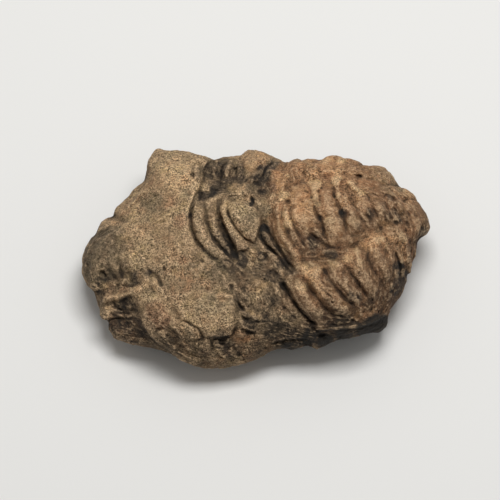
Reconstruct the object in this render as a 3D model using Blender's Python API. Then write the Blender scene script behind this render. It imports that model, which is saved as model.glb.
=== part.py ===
"""A trilobite fossil in its lump of stone, one solid.

Metres, +Z up. The stone rests on z = 0 with its long side along X and the tail at +X. It is looked at
from -Y and from above. The outline and the relief are laid out in millimetres on a plane that faces
that line of sight: "across" runs along +X and "up" runs away from the viewer. The broad forms are pressed
into a smooth lump first, and the narrow ones then into the surface that lies behind their drawn places.
"""

import math

import bmesh
import bpy
import numpy as np
from mathutils import Matrix, Vector, kdtree, noise

NAME = "trilobite_fossil"
MM = 0.001

# Driving dimensions, in metres
LENGTH = 80 * MM
TOP_DEPTH = 16.0 * MM
UNDER_DEPTH = 12.5 * MM
BASE_DROP = 10.3 * MM

SIGHT_ELEVATION = math.radians(60)
RIM_SLANT = -0.34
FULLNESS = 2.35

# The mesh, before and after thinning
FINE_LEVEL = 7
TRIANGLES = 8800
SMOOTHING = 0.4
SHARP_ANGLE = math.radians(50)

# Strokes, in millimetres
FINEST_STROKE = 0.9
GROOVE_ROUND = 0.45
STEP_WIDTH = 1.0
STEP_FURROW = 0.35
END_FADE = 2.2
BASE_FADE = 4.0
WOBBLE = 0.4
WOBBLE_SIZE = 2.6

# Uneven stone: size and height in millimetres, broad and small
BROAD_ROUGH = (11.0, 0.7)
SMALL_ROUGH = (3.6, 0.28)
LOWER_ROUGH = 0.4
NOISE_SEED = Vector((3.1, 7.7, 1.3))

# Half degrees that the silhouette is averaged over, on the rim and nearer the middle
FINE_WINDOW = 3
BROAD_WINDOW = 41

# The silhouette seen along the line of sight, (across, up) in millimetres, anticlockwise from the tail
OUTLINE = [
    (40.0, 7.2), (39.0, 10.4), (37.6, 13.1), (35.2, 15.8), (32.2, 17.7), (30.4, 20.4), (28.2, 21.5),
    (25.5, 21.2), (22.3, 22.3), (19.0, 23.4), (16.3, 23.1), (14.7, 22.6), (11.5, 22.9), (8.2, 22.7),
    (6.3, 22.3), (2.2, 24.3), (-0.5, 24.9), (-2.6, 24.3), (-3.7, 23.4), (-6.9, 23.1), (-10.2, 22.7),
    (-14.0, 23.9), (-19.4, 24.9), (-22.3, 24.2), (-24.0, 22.3), (-25.3, 18.8), (-29.6, 13.6),
    (-32.1, 11.2), (-32.6, 9.3), (-35.3, 8.5), (-37.2, 5.5), (-39.6, 2.8), (-40.0, -1.0), (-40.0, -3.6),
    (-39.1, -6.6), (-37.5, -7.4), (-36.2, -10.9), (-35.8, -13.4), (-34.4, -14.7), (-34.3, -16.6),
    (-32.6, -18.4), (-29.5, -19.5), (-26.0, -20.0), (-22.4, -20.8), (-18.3, -22.8), (-14.5, -24.2),
    (-10.7, -25.2), (-6.9, -24.5), (-2.6, -23.9), (2.2, -21.8), (4.9, -20.7), (11.5, -20.1),
    (13.6, -21.2), (16.3, -19.9), (19.6, -18.8), (24.4, -17.2), (27.0, -16.2), (28.2, -14.4),
    (28.6, -12.0), (30.8, -10.0), (34.1, -7.0), (35.7, -3.1), (37.4, 0.1), (37.9, 4.2), (39.3, 5.0),
]

# name: (across, up, radius, height), broad swells and hollows of the lump
SWELLS = {
    "plateau": (-20.0, 4.0, 17.0, 1.2),
    "back_left_corner": (-19.5, 19.5, 9.0, 2.0),
    "left_lump": (-35.5, 1.0, 8.0, 2.2),
    "lump_valley": (-31.2, 1.5, 4.0, -1.0),
    "left_hollow": (-32.6, -4.4, 4.6, -2.4),
    "under_lump_hollow": (-31.0, -11.8, 4.6, -2.4),
    "grey_flat": (-9.5, -12.0, 8.0, 1.4),
    "prow": (-16.0, -20.0, 7.0, 1.0),
    "front_left_face": (-28.0, -16.0, 6.0, -1.8),
    "valley_back": (-8.6, 18.2, 6.0, -2.4),
    "valley_middle": (-8.0, 5.0, 7.5, -2.2),
    "valley_gap": (2.6, 8.6, 4.2, -1.8),
    "valley_front": (2.0, -5.0, 8.0, -1.8),
    "valley_low": (5.0, -16.0, 7.0, -1.8),
    "orange_knob": (-0.2, 21.4, 5.0, 1.7),
    "wedge_swell": (-2.6, 9.2, 5.0, 1.3),
    "front_middle_lump": (0.4, -7.4, 4.4, 1.6),
    "broken_face": (-4.6, -20.4, 5.5, -1.4),
    "thorax_crown": (16.0, 7.0, 12.0, 1.2),
    "thorax_front": (20.0, -8.0, 13.0, 1.2),
    "tail_fall": (37.0, -4.0, 8.0, -1.8),
    "tail_knob": (37.6, 8.0, 4.4, 1.1),
    "back_fall": (31.0, 16.5, 7.0, -0.7),
    "grey_dip": (-22.6, 12.9, 4.5, -0.5),
    "plateau_dip": (-15.0, -1.6, 5.0, -0.5),
}

# name: (across, up, radius, height), small swells and hollows, pressed after the broad ones
KNOBS = {
    "low_left_nub": (-35.0, -12.8, 2.4, 0.8),
    "hollow_right": (-28.2, -4.8, 3.4, -1.2),
    "prow_hollow": (-18.6, -16.0, 3.4, -1.0),
    "wedge_cap": (-4.2, 15.4, 3.0, 1.2),
    "recess_hollow": (-12.7, 14.3, 2.2, -1.3),
    "second_ring_low": (11.2, 7.4, 3.4, 0.8),
    "second_ring_high": (10.2, 12.8, 3.4, 0.7),
    "third_ring_low": (17.6, 5.8, 2.6, 1.4),
    "third_ring_high": (13.8, 16.2, 2.2, 1.0),
    "fourth_ring_low": (21.8, 7.0, 2.2, 0.8),
    "fourth_ring_high": (18.5, 18.0, 2.2, 1.1),
    "fifth_ring_low": (25.0, 11.6, 2.2, 0.6),
    "fifth_ring_high": (22.8, 16.2, 2.2, 0.9),
    "sixth_ring_low": (28.8, 10.4, 2.2, 0.6),
    "tail_rise": (31.0, 6.2, 3.4, 0.9),
    "rib_head_a": (9.0, -5.6, 2.2, 0.9),
    "rib_head_b": (12.6, -3.2, 2.4, 0.9),
    "rib_head_c": (18.4, -2.0, 2.4, 0.8),
    "rib_head_d": (23.2, 0.2, 2.6, 0.8),
    "rib_head_e": (28.0, 2.4, 2.6, 0.8),
}

# name: (height, half width, points), the fossil's three lobes
LOBES = {
    "axial_lobe": (1.8, 4.8, [(6.0, 7.4), (13.0, 8.8), (20.0, 10.2), (27.0, 11.2), (34.0, 10.0)]),
    "near_lobe": (1.2, 6.0, [(12.0, -8.0), (19.0, -7.0), (26.0, -3.5), (31.0, 0.5)]),
    "far_lobe": (0.9, 2.6, [(5.0, 19.4), (12.0, 20.8), (20.0, 21.2), (27.0, 19.6), (32.0, 16.6)]),
}

# name: (height, half width, points), rounded ridges
RIDGES = {
    "first_ring": (1.3, 0.8, [(5.2, 13.0), (5.3, 9.0), (6.4, 5.0), (8.2, 1.4), (9.6, -0.6)]),
    "first_ring_far": (0.6, 1.0, [(5.4, 13.0), (6.4, 16.0), (6.2, 19.5)]),
    "second_ring": (0.6, 1.8, [(8.9, 14.5), (9.6, 10.0), (11.5, 5.5), (13.2, 3.0)]),
    "third_ring": (1.1, 0.8, [(13.2, 17.4), (13.5, 14.4), (14.6, 11.8), (16.0, 9.2)]),
    "fourth_ring": (1.0, 0.8, [(18.1, 17.6), (18.3, 14.6), (18.9, 12.6), (19.6, 9.6), (20.6, 7.6)]),
    "fifth_ring": (0.9, 0.8, [(21.6, 17.4), (22.5, 15.8), (23.6, 14.6), (24.6, 12.6), (25.2, 10.8)]),
    "sixth_ring": (0.7, 0.9, [(26.6, 13.4), (27.8, 11.6), (28.8, 9.6)]),
    "rib_a": (0.9, 0.9, [(8.4, -4.6), (9.6, -7.6), (11.4, -10.1), (13.4, -12.4), (15.6, -14.4)]),
    "rib_b": (1.0, 1.2, [(11.6, -3.2), (14.1, -7.2), (16.4, -9.8), (19.4, -12.2), (22.4, -13.2)]),
    "rib_c": (1.0, 1.2, [(17.6, -2.0), (20.0, -5.8), (22.4, -8.6), (25.4, -10.8)]),
    "rib_d": (0.9, 1.2, [(22.6, -0.4), (25.0, -4.0), (27.2, -7.6), (28.4, -9.4)]),
    "rib_e": (0.8, 1.0, [(27.2, 1.8), (29.0, -2.2), (30.2, -6.0)]),
    "rib_f": (0.7, 0.9, [(34.2, 3.4), (35.0, -0.6), (34.6, -4.0)]),
    "left_seam": (1.4, 0.8, [(-35.6, -9.6), (-32.4, -8.5), (-29.4, -7.8), (-26.4, -6.6), (-24.0, -6.0)]),
    "seam_end": (0.8, 1.1, [(-24.4, -6.0), (-22.6, -6.8), (-21.6, -8.4)]),
    "prow_edge": (1.4, 1.4, [(-26.3, -11.5), (-24.6, -15.6), (-21.4, -19.0), (-17.2, -22.2), (-12.6, -24.2)]),
    "prow_crest": (0.9, 0.9, [(-20.0, -13.2), (-18.2, -16.8), (-15.8, -19.6)]),
    "wedge_strip": (1.0, 0.7, [
        (-6.9, 12.9), (-7.4, 10.4), (-6.6, 7.4), (-5.4, 4.9), (-4.2, 3.0), (-3.6, 1.2),
    ]),
    "crescent_one": (0.9, 1.0, [
        (-13.0, 12.0), (-13.3, 8.6), (-12.4, 5.6), (-10.4, 3.1), (-7.8, 0.6), (-6.0, -1.2),
    ]),
    "crescent_two": (0.5, 0.7, [(-10.2, 11.4), (-9.8, 8.0), (-8.8, 5.4), (-7.4, 3.0), (-6.0, 1.2)]),
    "back_ledge": (0.8, 1.0, [(-31.0, 10.4), (-28.0, 13.4), (-25.6, 16.4)]),
    "middle_crest": (0.8, 0.7, [(1.4, -5.0), (-0.2, -6.2), (-1.8, -7.8)]),
    "low_ledge": (0.9, 0.5, [(-4.4, -12.9), (-2.2, -13.2), (-0.2, -13.6), (2.6, -14.3)]),
    "low_rim": (0.9, 0.6, [(14.6, -15.9), (18.0, -15.8), (21.4, -15.2), (25.2, -14.4), (28.0, -13.2)]),
}

# name: (depth, half width, points), furrows and cracks with a sharp bottom
GROOVES = {
    "near_furrow": (1.3, 1.8, [
        (8.6, -0.9), (12.4, 0.6), (16.9, 1.2), (21.6, 3.2), (25.2, 4.4), (29.0, 4.2), (33.4, 4.6),
        (37.0, 4.6),
    ]),
    "far_furrow": (1.2, 1.2, [
        (2.7, 12.6), (7.8, 16.5), (12.8, 17.9), (18.1, 19.0), (23.8, 18.8), (28.5, 17.2), (33.8, 14.0),
    ]),
    "ring_gap_1": (1.2, 0.7, [(7.2, 13.0), (7.0, 10.2), (7.8, 8.2), (9.1, 6.1), (10.2, 3.8), (11.6, 1.3)]),
    "ring_gap_2": (2.2, 0.7, [
        (11.6, 15.0), (12.8, 12.8), (13.4, 10.6), (14.6, 8.6), (15.2, 7.0), (15.2, 5.2), (15.8, 3.8),
    ]),
    "ring_gap_3": (1.7, 0.9, [
        (16.2, 17.6), (16.8, 14.6), (17.6, 12.6), (19.2, 10.6), (20.2, 8.6), (20.4, 6.0), (21.0, 4.2),
    ]),
    "ring_gap_4": (1.4, 0.9, [
        (20.6, 17.4), (21.2, 14.6), (22.4, 12.4), (23.6, 10.2), (24.8, 8.6), (25.4, 6.6),
    ]),
    "ring_gap_5": (1.2, 0.9, [(25.0, 15.2), (26.2, 12.0), (27.0, 10.4), (28.2, 8.0)]),
    "ring_gap_6": (1.0, 0.9, [(29.0, 13.4), (30.4, 10.8), (31.0, 8.4)]),
    "ring_gap_7": (1.2, 0.9, [(31.8, 12.0), (32.8, 8.4)]),
    "ring_gap_8": (1.0, 0.9, [(34.6, 11.6), (35.3, 8.0)]),
    "rib_gap_0": (2.3, 0.7, [
        (5.2, -4.6), (6.0, -6.1), (7.1, -7.9), (8.2, -9.9), (9.6, -11.7), (11.0, -13.2), (14.0, -15.1),
    ]),
    "rib_gap_1": (1.5, 0.7, [
        (10.2, -3.2), (11.8, -7.0), (12.6, -8.3), (14.1, -9.9), (15.5, -11.3), (16.8, -12.4), (20.2, -13.5),
    ]),
    "rib_gap_2": (1.4, 0.7, [
        (14.6, -1.0), (16.2, -4.0), (17.3, -5.6), (18.4, -7.2), (19.6, -8.5), (20.7, -9.9), (23.4, -11.4),
    ]),
    "rib_gap_3": (1.9, 0.7, [
        (19.2, 0.2), (21.1, -2.9), (22.3, -4.5), (23.2, -5.8), (24.3, -7.4), (26.4, -9.2),
    ]),
    "rib_gap_4": (1.0, 0.7, [(23.8, 2.2), (24.8, 0.8), (26.1, -2.2), (27.5, -4.7), (28.9, -6.9)]),
    "rib_gap_5": (1.1, 0.7, [(28.0, 4.2), (29.0, 2.8), (30.0, -0.6), (31.1, -3.3), (31.8, -6.2)]),
    "rib_gap_6": (2.3, 0.8, [(31.5, 2.0), (32.2, -0.6), (32.9, -2.6), (33.2, -5.0)]),
    "rib_gap_7": (0.9, 0.8, [(33.2, 6.0), (35.4, 2.8), (35.9, -0.4)]),
    "crescent_crack_1": (2.0, 0.7, [
        (-14.9, 11.8), (-15.3, 9.5), (-15.0, 6.9), (-14.3, 4.6), (-13.5, 3.5), (-12.8, 2.4), (-11.8, 1.6),
    ]),
    "crescent_crack_2": (1.1, 0.7, [
        (-11.5, 9.6), (-11.2, 8.0), (-10.4, 5.5), (-9.9, 4.5), (-8.3, 2.7), (-6.2, 0.3), (-4.8, -2.2),
    ]),
    "crescent_crack_3": (2.5, 0.9, [
        (-8.7, 11.8), (-8.2, 8.4), (-7.3, 5.6), (-6.3, 3.6), (-5.2, 1.4), (-3.9, -0.6), (-3.3, -1.8),
    ]),
    "wedge_crack": (1.0, 0.7, [
        (-6.9, 10.2), (-6.1, 8.6), (-5.2, 7.2), (-4.4, 6.1), (-3.2, 4.5), (-2.6, 3.4),
    ]),
    "cap_foot": (0.9, 0.7, [(-6.8, 13.6), (-4.0, 13.4), (-1.6, 13.2)]),
    "slot": (1.7, 0.7, [(-1.4, 14.6), (-0.8, 13.0), (-0.45, 11.5)]),
    "main_crevice": (3.0, 0.9, [
        (1.4, 8.8), (2.1, 7.4), (3.2, 5.4), (4.1, 4.1), (5.2, 2.2), (6.1, 1.0), (6.9, -0.4), (8.2, -2.2),
    ]),
    "side_crevice": (1.8, 0.7, [
        (0.5, 6.2), (0.9, 4.8), (1.5, 3.5), (3.4, 2.0), (4.4, 1.0), (6.1, -0.8), (7.9, -2.0), (9.4, -3.3),
    ]),
    "knob_crack": (1.9, 0.8, [(4.6, 22.2), (3.1, 21.4), (2.0, 20.3), (1.4, 19.3), (0.9, 17.2)]),
    "knob_foot": (1.3, 0.8, [(-3.6, 20.8), (-2.2, 19.2), (-0.4, 18.4), (1.2, 17.2)]),
    "back_crack_1": (1.5, 0.7, [(-10.4, 22.8), (-11.4, 21.4), (-12.0, 20.3), (-12.4, 18.4)]),
    "back_crack_2": (1.8, 0.8, [(-6.4, 22.8), (-7.4, 21.5), (-8.1, 20.4), (-8.4, 18.5), (-8.5, 16.6)]),
    "back_crack_4": (1.2, 0.8, [(-3.6, 23.2), (-4.7, 21.4), (-4.8, 19.0), (-4.2, 17.4)]),
    "low_crack_1": (1.7, 0.7, [(-4.9, -9.2), (-3.8, -11.0), (-2.8, -12.2), (-1.8, -12.8)]),
    "low_crack_3": (1.2, 0.7, [(-4.2, -15.8), (-2.3, -16.2), (-1.3, -16.9), (0.4, -17.1), (2.2, -16.8)]),
    "broken_line": (1.2, 0.7, [(-9.6, -18.7), (-8.2, -18.8), (-6.8, -18.7)]),
    "broken_edge": (1.3, 0.7, [(-10.4, -18.2), (-10.2, -19.8), (-10.1, -21.8)]),
    "flat_crack": (1.5, 0.7, [
        (-17.6, -14.2), (-15.2, -14.8), (-14.4, -15.6), (-13.0, -16.6), (-12.4, -17.6), (-11.0, -18.3),
    ]),
    "prow_groove": (1.3, 0.7, [(-20.3, -14.2), (-19.4, -16.0), (-18.4, -17.8), (-16.8, -19.4)]),
    "left_crack": (1.3, 0.7, [
        (-25.8, -0.8), (-25.0, -2.0), (-24.2, -3.0), (-23.0, -4.0), (-22.1, -5.6), (-21.2, -7.2),
    ]),
    "lump_edge": (1.3, 0.7, [(-32.0, 0.0), (-31.5, -2.0), (-31.3, -4.0), (-30.3, -6.0)]),
    "lump_gash": (1.4, 0.7, [(-35.9, -3.0), (-35.0, -3.7), (-34.3, -4.6), (-33.5, -5.4)]),
    "lump_foot": (1.3, 0.7, [(-34.0, -6.2), (-31.4, -6.4), (-29.6, -6.3), (-27.8, -6.4)]),
    "seam_foot": (1.3, 0.8, [(-31.2, -9.7), (-29.6, -9.0), (-27.6, -8.4)]),
    "under_line_1": (1.3, 0.7, [(-34.2, -11.1), (-32.2, -11.6), (-29.4, -11.8)]),
    "under_line_3": (1.2, 0.7, [(-33.6, -13.9), (-31.0, -13.7), (-27.0, -13.7)]),
}

# name: (height, softness, outline), the broad masses of the lump
MASSES = {
    "thorax_mass": (1.5, 1.2, [
        (3.0, 18.5), (3.6, 10.5), (5.0, 4.4), (9.0, -1.8), (6.6, -5.2), (9.6, -11.2), (14.4, -15.8),
        (22.0, -16.4), (28.6, -13.4), (32.6, -5.6), (36.4, 1.0), (37.4, 9.0), (31.4, 16.6), (22.0, 21.0),
        (8.0, 21.4),
    ]),
    "left_shelf": (-1.3, 0.8, [
        (-37.0, -14.0), (-31.0, -13.8), (-26.6, -15.4), (-23.6, -20.0), (-33.0, -20.0),
    ]),
}

# name: (height, softness, outline), plates that stand above their surroundings
PLATES = {
    "wedge": (1.3, 0.9, [
        (-6.4, 13.2), (-4.0, 13.0), (-1.6, 12.4), (0.4, 11.4), (0.5, 8.8), (0.3, 6.4), (-0.4, 3.6),
        (-1.4, 4.6), (-3.2, 5.4), (-4.8, 7.1), (-6.0, 9.2), (-6.6, 11.2),
    ]),
    "wedge_edge": (1.3, 0.8, [
        (-7.6, 13.2), (-6.6, 13.4), (-6.7, 10.4), (-5.4, 7.6), (-3.0, 4.3), (-2.8, 1.2), (-3.9, 0.6),
        (-5.3, 2.7), (-6.9, 6.2), (-7.8, 8.4), (-8.2, 10.8),
    ]),
    "crescent_one": (0.8, 0.8, [
        (-14.6, 12.2), (-12.2, 12.2), (-11.6, 9.0), (-10.4, 5.4), (-8.2, 2.6), (-5.0, -1.6), (-6.6, -1.4),
        (-9.6, 1.2), (-12.8, 2.9), (-14.3, 5.4), (-14.9, 8.6),
    ]),
    "crescent_two": (0.5, 0.8, [
        (-11.2, 12.0), (-9.2, 12.0), (-8.9, 8.6), (-7.6, 5.2), (-5.6, 1.8), (-6.4, 1.0), (-8.4, 3.2),
        (-10.2, 6.0),
    ]),
    "grey_flat": (1.0, 1.0, [
        (-20.0, -8.0), (-13.0, -7.4), (-5.2, -8.4), (-4.7, -12.0), (-5.0, -15.2), (-6.4, -17.4),
        (-11.6, -17.9),
        (-14.0, -15.8), (-17.0, -14.2),
    ]),
    "prow_flat": (0.7, 0.9, [
        (-19.6, -13.4), (-17.2, -14.6), (-14.8, -15.2), (-12.8, -17.2), (-12.6, -18.6), (-15.0, -18.4),
        (-17.2, -17.6),
    ]),
    "knob": (0.6, 0.9, [(-3.2, 24.8), (-2.8, 21.6), (-1.4, 20.6), (1.4, 20.6), (2.6, 22.2), (2.6, 24.8)]),
}

# name: (height, reach, points), steps whose high side lies to the left of the line
LEDGES = {
    "plateau_edge": (1.3, 3.0, [
        (-11.6, 0.8), (-13.8, 3.6), (-15.0, 6.4), (-15.4, 9.6), (-14.8, 12.6), (-13.4, 15.6), (-12.4, 18.6),
        (-11.2, 22.2),
    ]),
    "flat_rim": (1.5, 3.0, [
        (-12.2, -18.1), (-9.0, -17.8), (-6.2, -17.5), (-4.9, -15.4), (-4.6, -12.4), (-4.8, -9.0),
    ]),
    "wedge_side": (0.9, 2.2, [(-0.8, 3.8), (0.4, 6.4), (0.7, 9.6), (0.2, 11.6)]),
    "first_ring_side": (0.8, 1.6, [(5.4, 12.8), (4.4, 11.0), (4.3, 6.6), (5.4, 3.2), (7.8, -0.8)]),
    "rib_side": (1.0, 1.8, [(5.6, -4.6), (7.4, -8.0), (9.8, -11.6), (13.6, -14.8)]),
    "fossil_edge": (1.8, 3.4, [(12.0, -17.0), (18.0, -16.6), (24.4, -15.4), (28.0, -13.8)]),
    "front_shelf": (1.0, 3.0, [(2.6, -19.6), (7.0, -18.4), (12.0, -18.3)]),
    "prow_under": (1.3, 3.0, [(-26.8, -14.4), (-25.0, -17.6), (-22.0, -20.2)]),
    "lump_under": (1.0, 2.6, [(-37.4, -7.2), (-34.8, -7.6)]),
}

# Gaps between the far lobe's ribs, fanned from the far furrow over the edge and down the back
BACK_RIBS = 8
BACK_RIB_ANGLES = (72, 20)
BACK_RIB_DEPTH = 1.4
BACK_RIB_WIDTH = 1.0
BACK_RIB_PLACES = ((3, 55), (1, 78), (-3, 100), (-8, 124))

# How far the layers' lines swing up and down, in degrees, and how fast
LAYER_SWING = 3
LAYER_TURN = 0.13

# name: (depth, half width, first angle, last angle, tilt), layers of stone round the underside
BACK_LAYERS = {
    "back_layer_high": (0.9, 1.3, 118, 168, 112),
    "back_layer_low": (0.8, 1.4, 95, 175, 124),
    "tail_layer": (0.9, 1.2, -30, 40, 116),
    "front_layer": (0.8, 1.2, 215, 330, 110),
}


def ring_average(values, window):
    """Running mean round a closed ring."""
    half = window // 2
    padded = np.concatenate([values[-half:], values, values[:half]])
    return np.convolve(padded, np.ones(window) / window, "valid")


def outline_radius(angle, detail):
    """Distance from the middle to the silhouette; detail runs from 0, broad form alone, to 1, every bump."""
    points = np.array(OUTLINE)
    turns = np.arctan2(points[:, 1], points[:, 0])
    reach = np.hypot(points[:, 0], points[:, 1])
    even = np.linspace(-math.pi, math.pi, 720, endpoint=False)
    order = np.argsort(turns)
    sharp = np.interp(even, turns[order], reach[order], period=2 * math.pi)
    sharp = ring_average(sharp, FINE_WINDOW)
    broad = ring_average(sharp, BROAD_WINDOW)
    near = np.interp(angle, even, sharp, period=2 * math.pi)
    wide = np.interp(angle, even, broad, period=2 * math.pi)
    return wide + (near - wide) * detail


def skin(directions):
    """Points, in millimetres on the sight axes, where directions leave the smooth lump."""
    share = np.clip(np.hypot(directions[:, 0], directions[:, 1]), 0, 1)
    angle = np.arctan2(directions[:, 1], directions[:, 0])
    radius = outline_radius(angle, share**4)
    across = radius * share * np.cos(angle)
    up = radius * share * np.sin(angle)
    lift = (1 - share**FULLNESS) ** (1 / FULLNESS)
    depth = np.where(directions[:, 2] > 0, TOP_DEPTH / MM, -UNDER_DEPTH / MM) * lift
    return np.stack([across, up, depth + RIM_SLANT * up], axis=1)


def sight_axes():
    """Rows are the sight plane's across and up, and the line of sight back to the viewer."""
    sine = math.sin(SIGHT_ELEVATION)
    cosine = math.cos(SIGHT_ELEVATION)
    return np.array([(1, 0, 0), (0, sine, cosine), (0, -cosine, sine)])


def smooth_path(controls, per_span=6):
    """A Catmull-Rom curve through points."""
    rows = [2 * controls[0] - controls[1], *controls, 2 * controls[-1] - controls[-2]]
    path = []
    for a, b, c, d in zip(rows, rows[1:], rows[2:], rows[3:]):
        for t in np.linspace(0, 1, per_span, endpoint=False):
            bend = (2 * a - 5 * b + 4 * c - d) * t**2 + (3 * b - a - 3 * c + d) * t**3
            path.append(0.5 * (2 * b + (c - a) * t + bend))
    path.append(rows[-2])
    return np.array(path)


def polar(angle, tilt):
    """Unit direction at an angle round the silhouette, tilt degrees from the line of sight."""
    angle = math.radians(angle)
    tilt = math.radians(tilt)
    return np.array([math.sin(tilt) * math.cos(angle), math.sin(tilt) * math.sin(angle), math.cos(tilt)])


def skin_path(directions):
    """A curve over the smooth lump, through places given as directions."""
    path = smooth_path(directions)
    return skin(path / np.linalg.norm(path, axis=1, keepdims=True))


def finder(points, facing):
    """Returns a function that finds the surface behind a place drawn on the sight plane."""
    seen = np.nonzero(facing)[0]
    tree = kdtree.KDTree(len(seen))
    for k in seen:
        tree.insert((points[k, 0], points[k, 1], 0), k)
    tree.balance()

    def find(across, up):
        nearest = tree.find((across, up, 0))[1]
        return np.array([across, up, points[nearest, 2]])

    return find


def drawn_path(find, line):
    return np.array([find(*place) for place in smooth_path(np.array(line))])


def along_path(points, normals, path, reach):
    """For the points near a path: which they are, signed distance (left is plus) and end fade."""
    middle = path.mean(axis=0)
    span = np.linalg.norm(path - middle, axis=1).max() + reach
    which = np.nonzero(np.linalg.norm(points - middle, axis=1) < span)[0]
    best = np.full(len(which), np.inf)
    side = np.ones(len(which))
    share = np.zeros(len(which))
    steps = np.linalg.norm(np.diff(path, axis=0), axis=1)
    run = np.concatenate([[0], np.cumsum(steps)])
    for k, (start, end) in enumerate(zip(path, path[1:])):
        line = end - start
        away = points[which] - start
        t = np.clip(away @ line / (line @ line), 0, 1)
        offset = away - t[:, None] * line
        distance = np.linalg.norm(offset, axis=1)
        closer = distance < best
        left = np.einsum("ij,ij->i", np.cross(normals[which], line), offset)
        best = np.where(closer, distance, best)
        side = np.where(closer, np.sign(left), side)
        share = np.where(closer, (run[k] + t * steps[k]) / run[-1], share)
    fade = min(0.45, END_FADE / run[-1])
    return which, best * side, ease(share / fade) * ease((1 - share) / fade)


def ease(x):
    x = np.clip(x, 0, 1)
    return x * x * (3 - 2 * x)


def inside_distance(across, up, outline):
    """Signed distance to a closed outline on the sight plane, plus inside it."""
    best = np.full(len(across), np.inf)
    inside = np.zeros(len(across), bool)
    for (x0, y0), (x1, y1) in zip(outline, outline[1:] + outline[:1]):
        run = x1 - x0
        rise = y1 - y0
        t = np.clip(((across - x0) * run + (up - y0) * rise) / (run**2 + rise**2), 0, 1)
        best = np.minimum(best, np.hypot(across - x0 - t * run, up - y0 - t * rise))
        if rise:
            crossing = x0 + (up - y0) / rise * run
            inside ^= ((y0 > up) != (y1 > up)) & (across < crossing)
    return np.where(inside, best, -best)


def strayed(points):
    """The points as they are measured, a little off, so that no drawn line comes out ruled."""
    return points + WOBBLE * np.array([noise.noise_vector(Vector(p) / WOBBLE_SIZE) for p in points])


def plate_relief(points, table):
    change = np.zeros(len(points))
    for height, softness, outline in table.values():
        inside = inside_distance(points[:, 0], points[:, 1], outline)
        change += height * ease(inside / softness / 2 + 0.5)
    return change


def swell_relief(points, find, table):
    change = np.zeros(len(points))
    for across, up, radius, height in table.values():
        distance = np.linalg.norm(points - find(across, up), axis=1)
        change += height * np.clip(1 - (distance / radius / 1.3) ** 2, 0, None) ** 2
    return change


def ridge_relief(points, normals, find, table):
    change = np.zeros(len(points))
    for height, width, line in table.values():
        width = max(width, FINEST_STROKE)
        which, distance, fade = along_path(points, normals, drawn_path(find, line), 3 * width)
        change[which] += height * np.exp(-((distance / width) ** 2)) * fade
    return change


def ledge_relief(points, normals, find):
    """Steps up on the left of a line that die away over their reach, with a small furrow at the foot."""
    change = np.zeros(len(points))
    for height, reach, line in LEDGES.values():
        which, distance, fade = along_path(points, normals, drawn_path(find, line), 3 * reach)
        rise = ease(distance / STEP_WIDTH + 0.5) * np.exp(-np.clip(distance, 0, None) / reach)
        foot = np.exp(-((distance / STEP_WIDTH + 1) ** 2))
        change[which] += height * (rise - STEP_FURROW * foot) * fade
    return change


def groove_paths(find):
    """Every furrow and crack, as depth, half width and path: drawn ones, far ribs and layers."""
    for depth, width, line in GROOVES.values():
        yield depth, width, drawn_path(find, line)
    for k in range(BACK_RIBS):
        share = k / (BACK_RIBS - 1)
        angle = BACK_RIB_ANGLES[0] + (BACK_RIB_ANGLES[1] - BACK_RIB_ANGLES[0]) * share
        turns = [polar(angle + lean, tilt) for lean, tilt in BACK_RIB_PLACES]
        yield BACK_RIB_DEPTH, BACK_RIB_WIDTH, skin_path(turns)
    for depth, width, first, last, tilt in BACK_LAYERS.values():
        angles = np.linspace(first, last, 8)
        turns = [polar(angle, tilt + LAYER_SWING * math.sin(angle * LAYER_TURN)) for angle in angles]
        yield depth, width, skin_path(turns)


def groove_relief(points, normals, find):
    change = np.zeros(len(points))
    for depth, width, path in groove_paths(find):
        width = max(width, FINEST_STROKE)
        which, distance, fade = along_path(points, normals, path, 4 * width)
        round_bottom = np.hypot(distance, GROOVE_ROUND) - GROOVE_ROUND
        change[which] -= depth * np.exp(-round_bottom / width) * fade
    return change


def broad_relief(points, normals, facing):
    """How far each point of the smooth lump moves out, in millimetres, for its main masses."""
    find = finder(points, facing)
    measured = strayed(points)
    change = plate_relief(measured, MASSES) * facing + swell_relief(points, find, SWELLS)
    return change + ridge_relief(measured, normals, find, LOBES)


def narrow_relief(points, normals, facing):
    """The same for the plates, ridges, steps and cracks."""
    find = finder(points, facing)
    measured = strayed(points)
    change = plate_relief(measured, PLATES) * facing + swell_relief(measured, find, KNOBS)
    change += ridge_relief(measured, normals, find, RIDGES)
    change += ledge_relief(measured, normals, find)
    return change + groove_relief(measured, normals, find)


def roughness(place):
    """Uneven stone at one place, in millimetres: broad lumps with smaller ones on them."""
    broad = noise.fractal(place / BROAD_ROUGH[0] + NOISE_SEED, 0.9, 2.1, 3)
    small = noise.fractal(place / SMALL_ROUGH[0] - NOISE_SEED, 0.8, 2.0, 2)
    return BROAD_ROUGH[1] * broad + SMALL_ROUGH[1] * small


def place_verts(bm, points):
    for vert, point in zip(bm.verts, points):
        vert.co = point
    bm.normal_update()
    return np.array([v.normal for v in bm.verts])


def carve_lump(bm):
    """Turns a unit sphere into the stone, with the fossil's relief on it, in metres and at rest."""
    directions = np.array([v.co.normalized() for v in bm.verts])
    facing = directions[:, 2] > 0
    points = skin(directions)
    normals = place_verts(bm, points)
    height = (points @ sight_axes())[:, 2]
    upper = ease((height + BASE_DROP / MM) / BASE_FADE)

    points = points + normals * (broad_relief(points, normals, facing) * upper)[:, None]
    normals = place_verts(bm, points)
    rough = np.array([roughness(Vector(p)) for p in points])
    rough *= LOWER_ROUGH + (1 - LOWER_ROUGH) * upper
    change = narrow_relief(points, normals, facing) * upper + rough
    points = points + normals * change[:, None]
    place_verts(bm, points @ sight_axes() * MM)
    bmesh.ops.smooth_vert(
        bm, verts=bm.verts, factor=SMOOTHING, use_axis_x=True, use_axis_y=True, use_axis_z=True
    )


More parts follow.
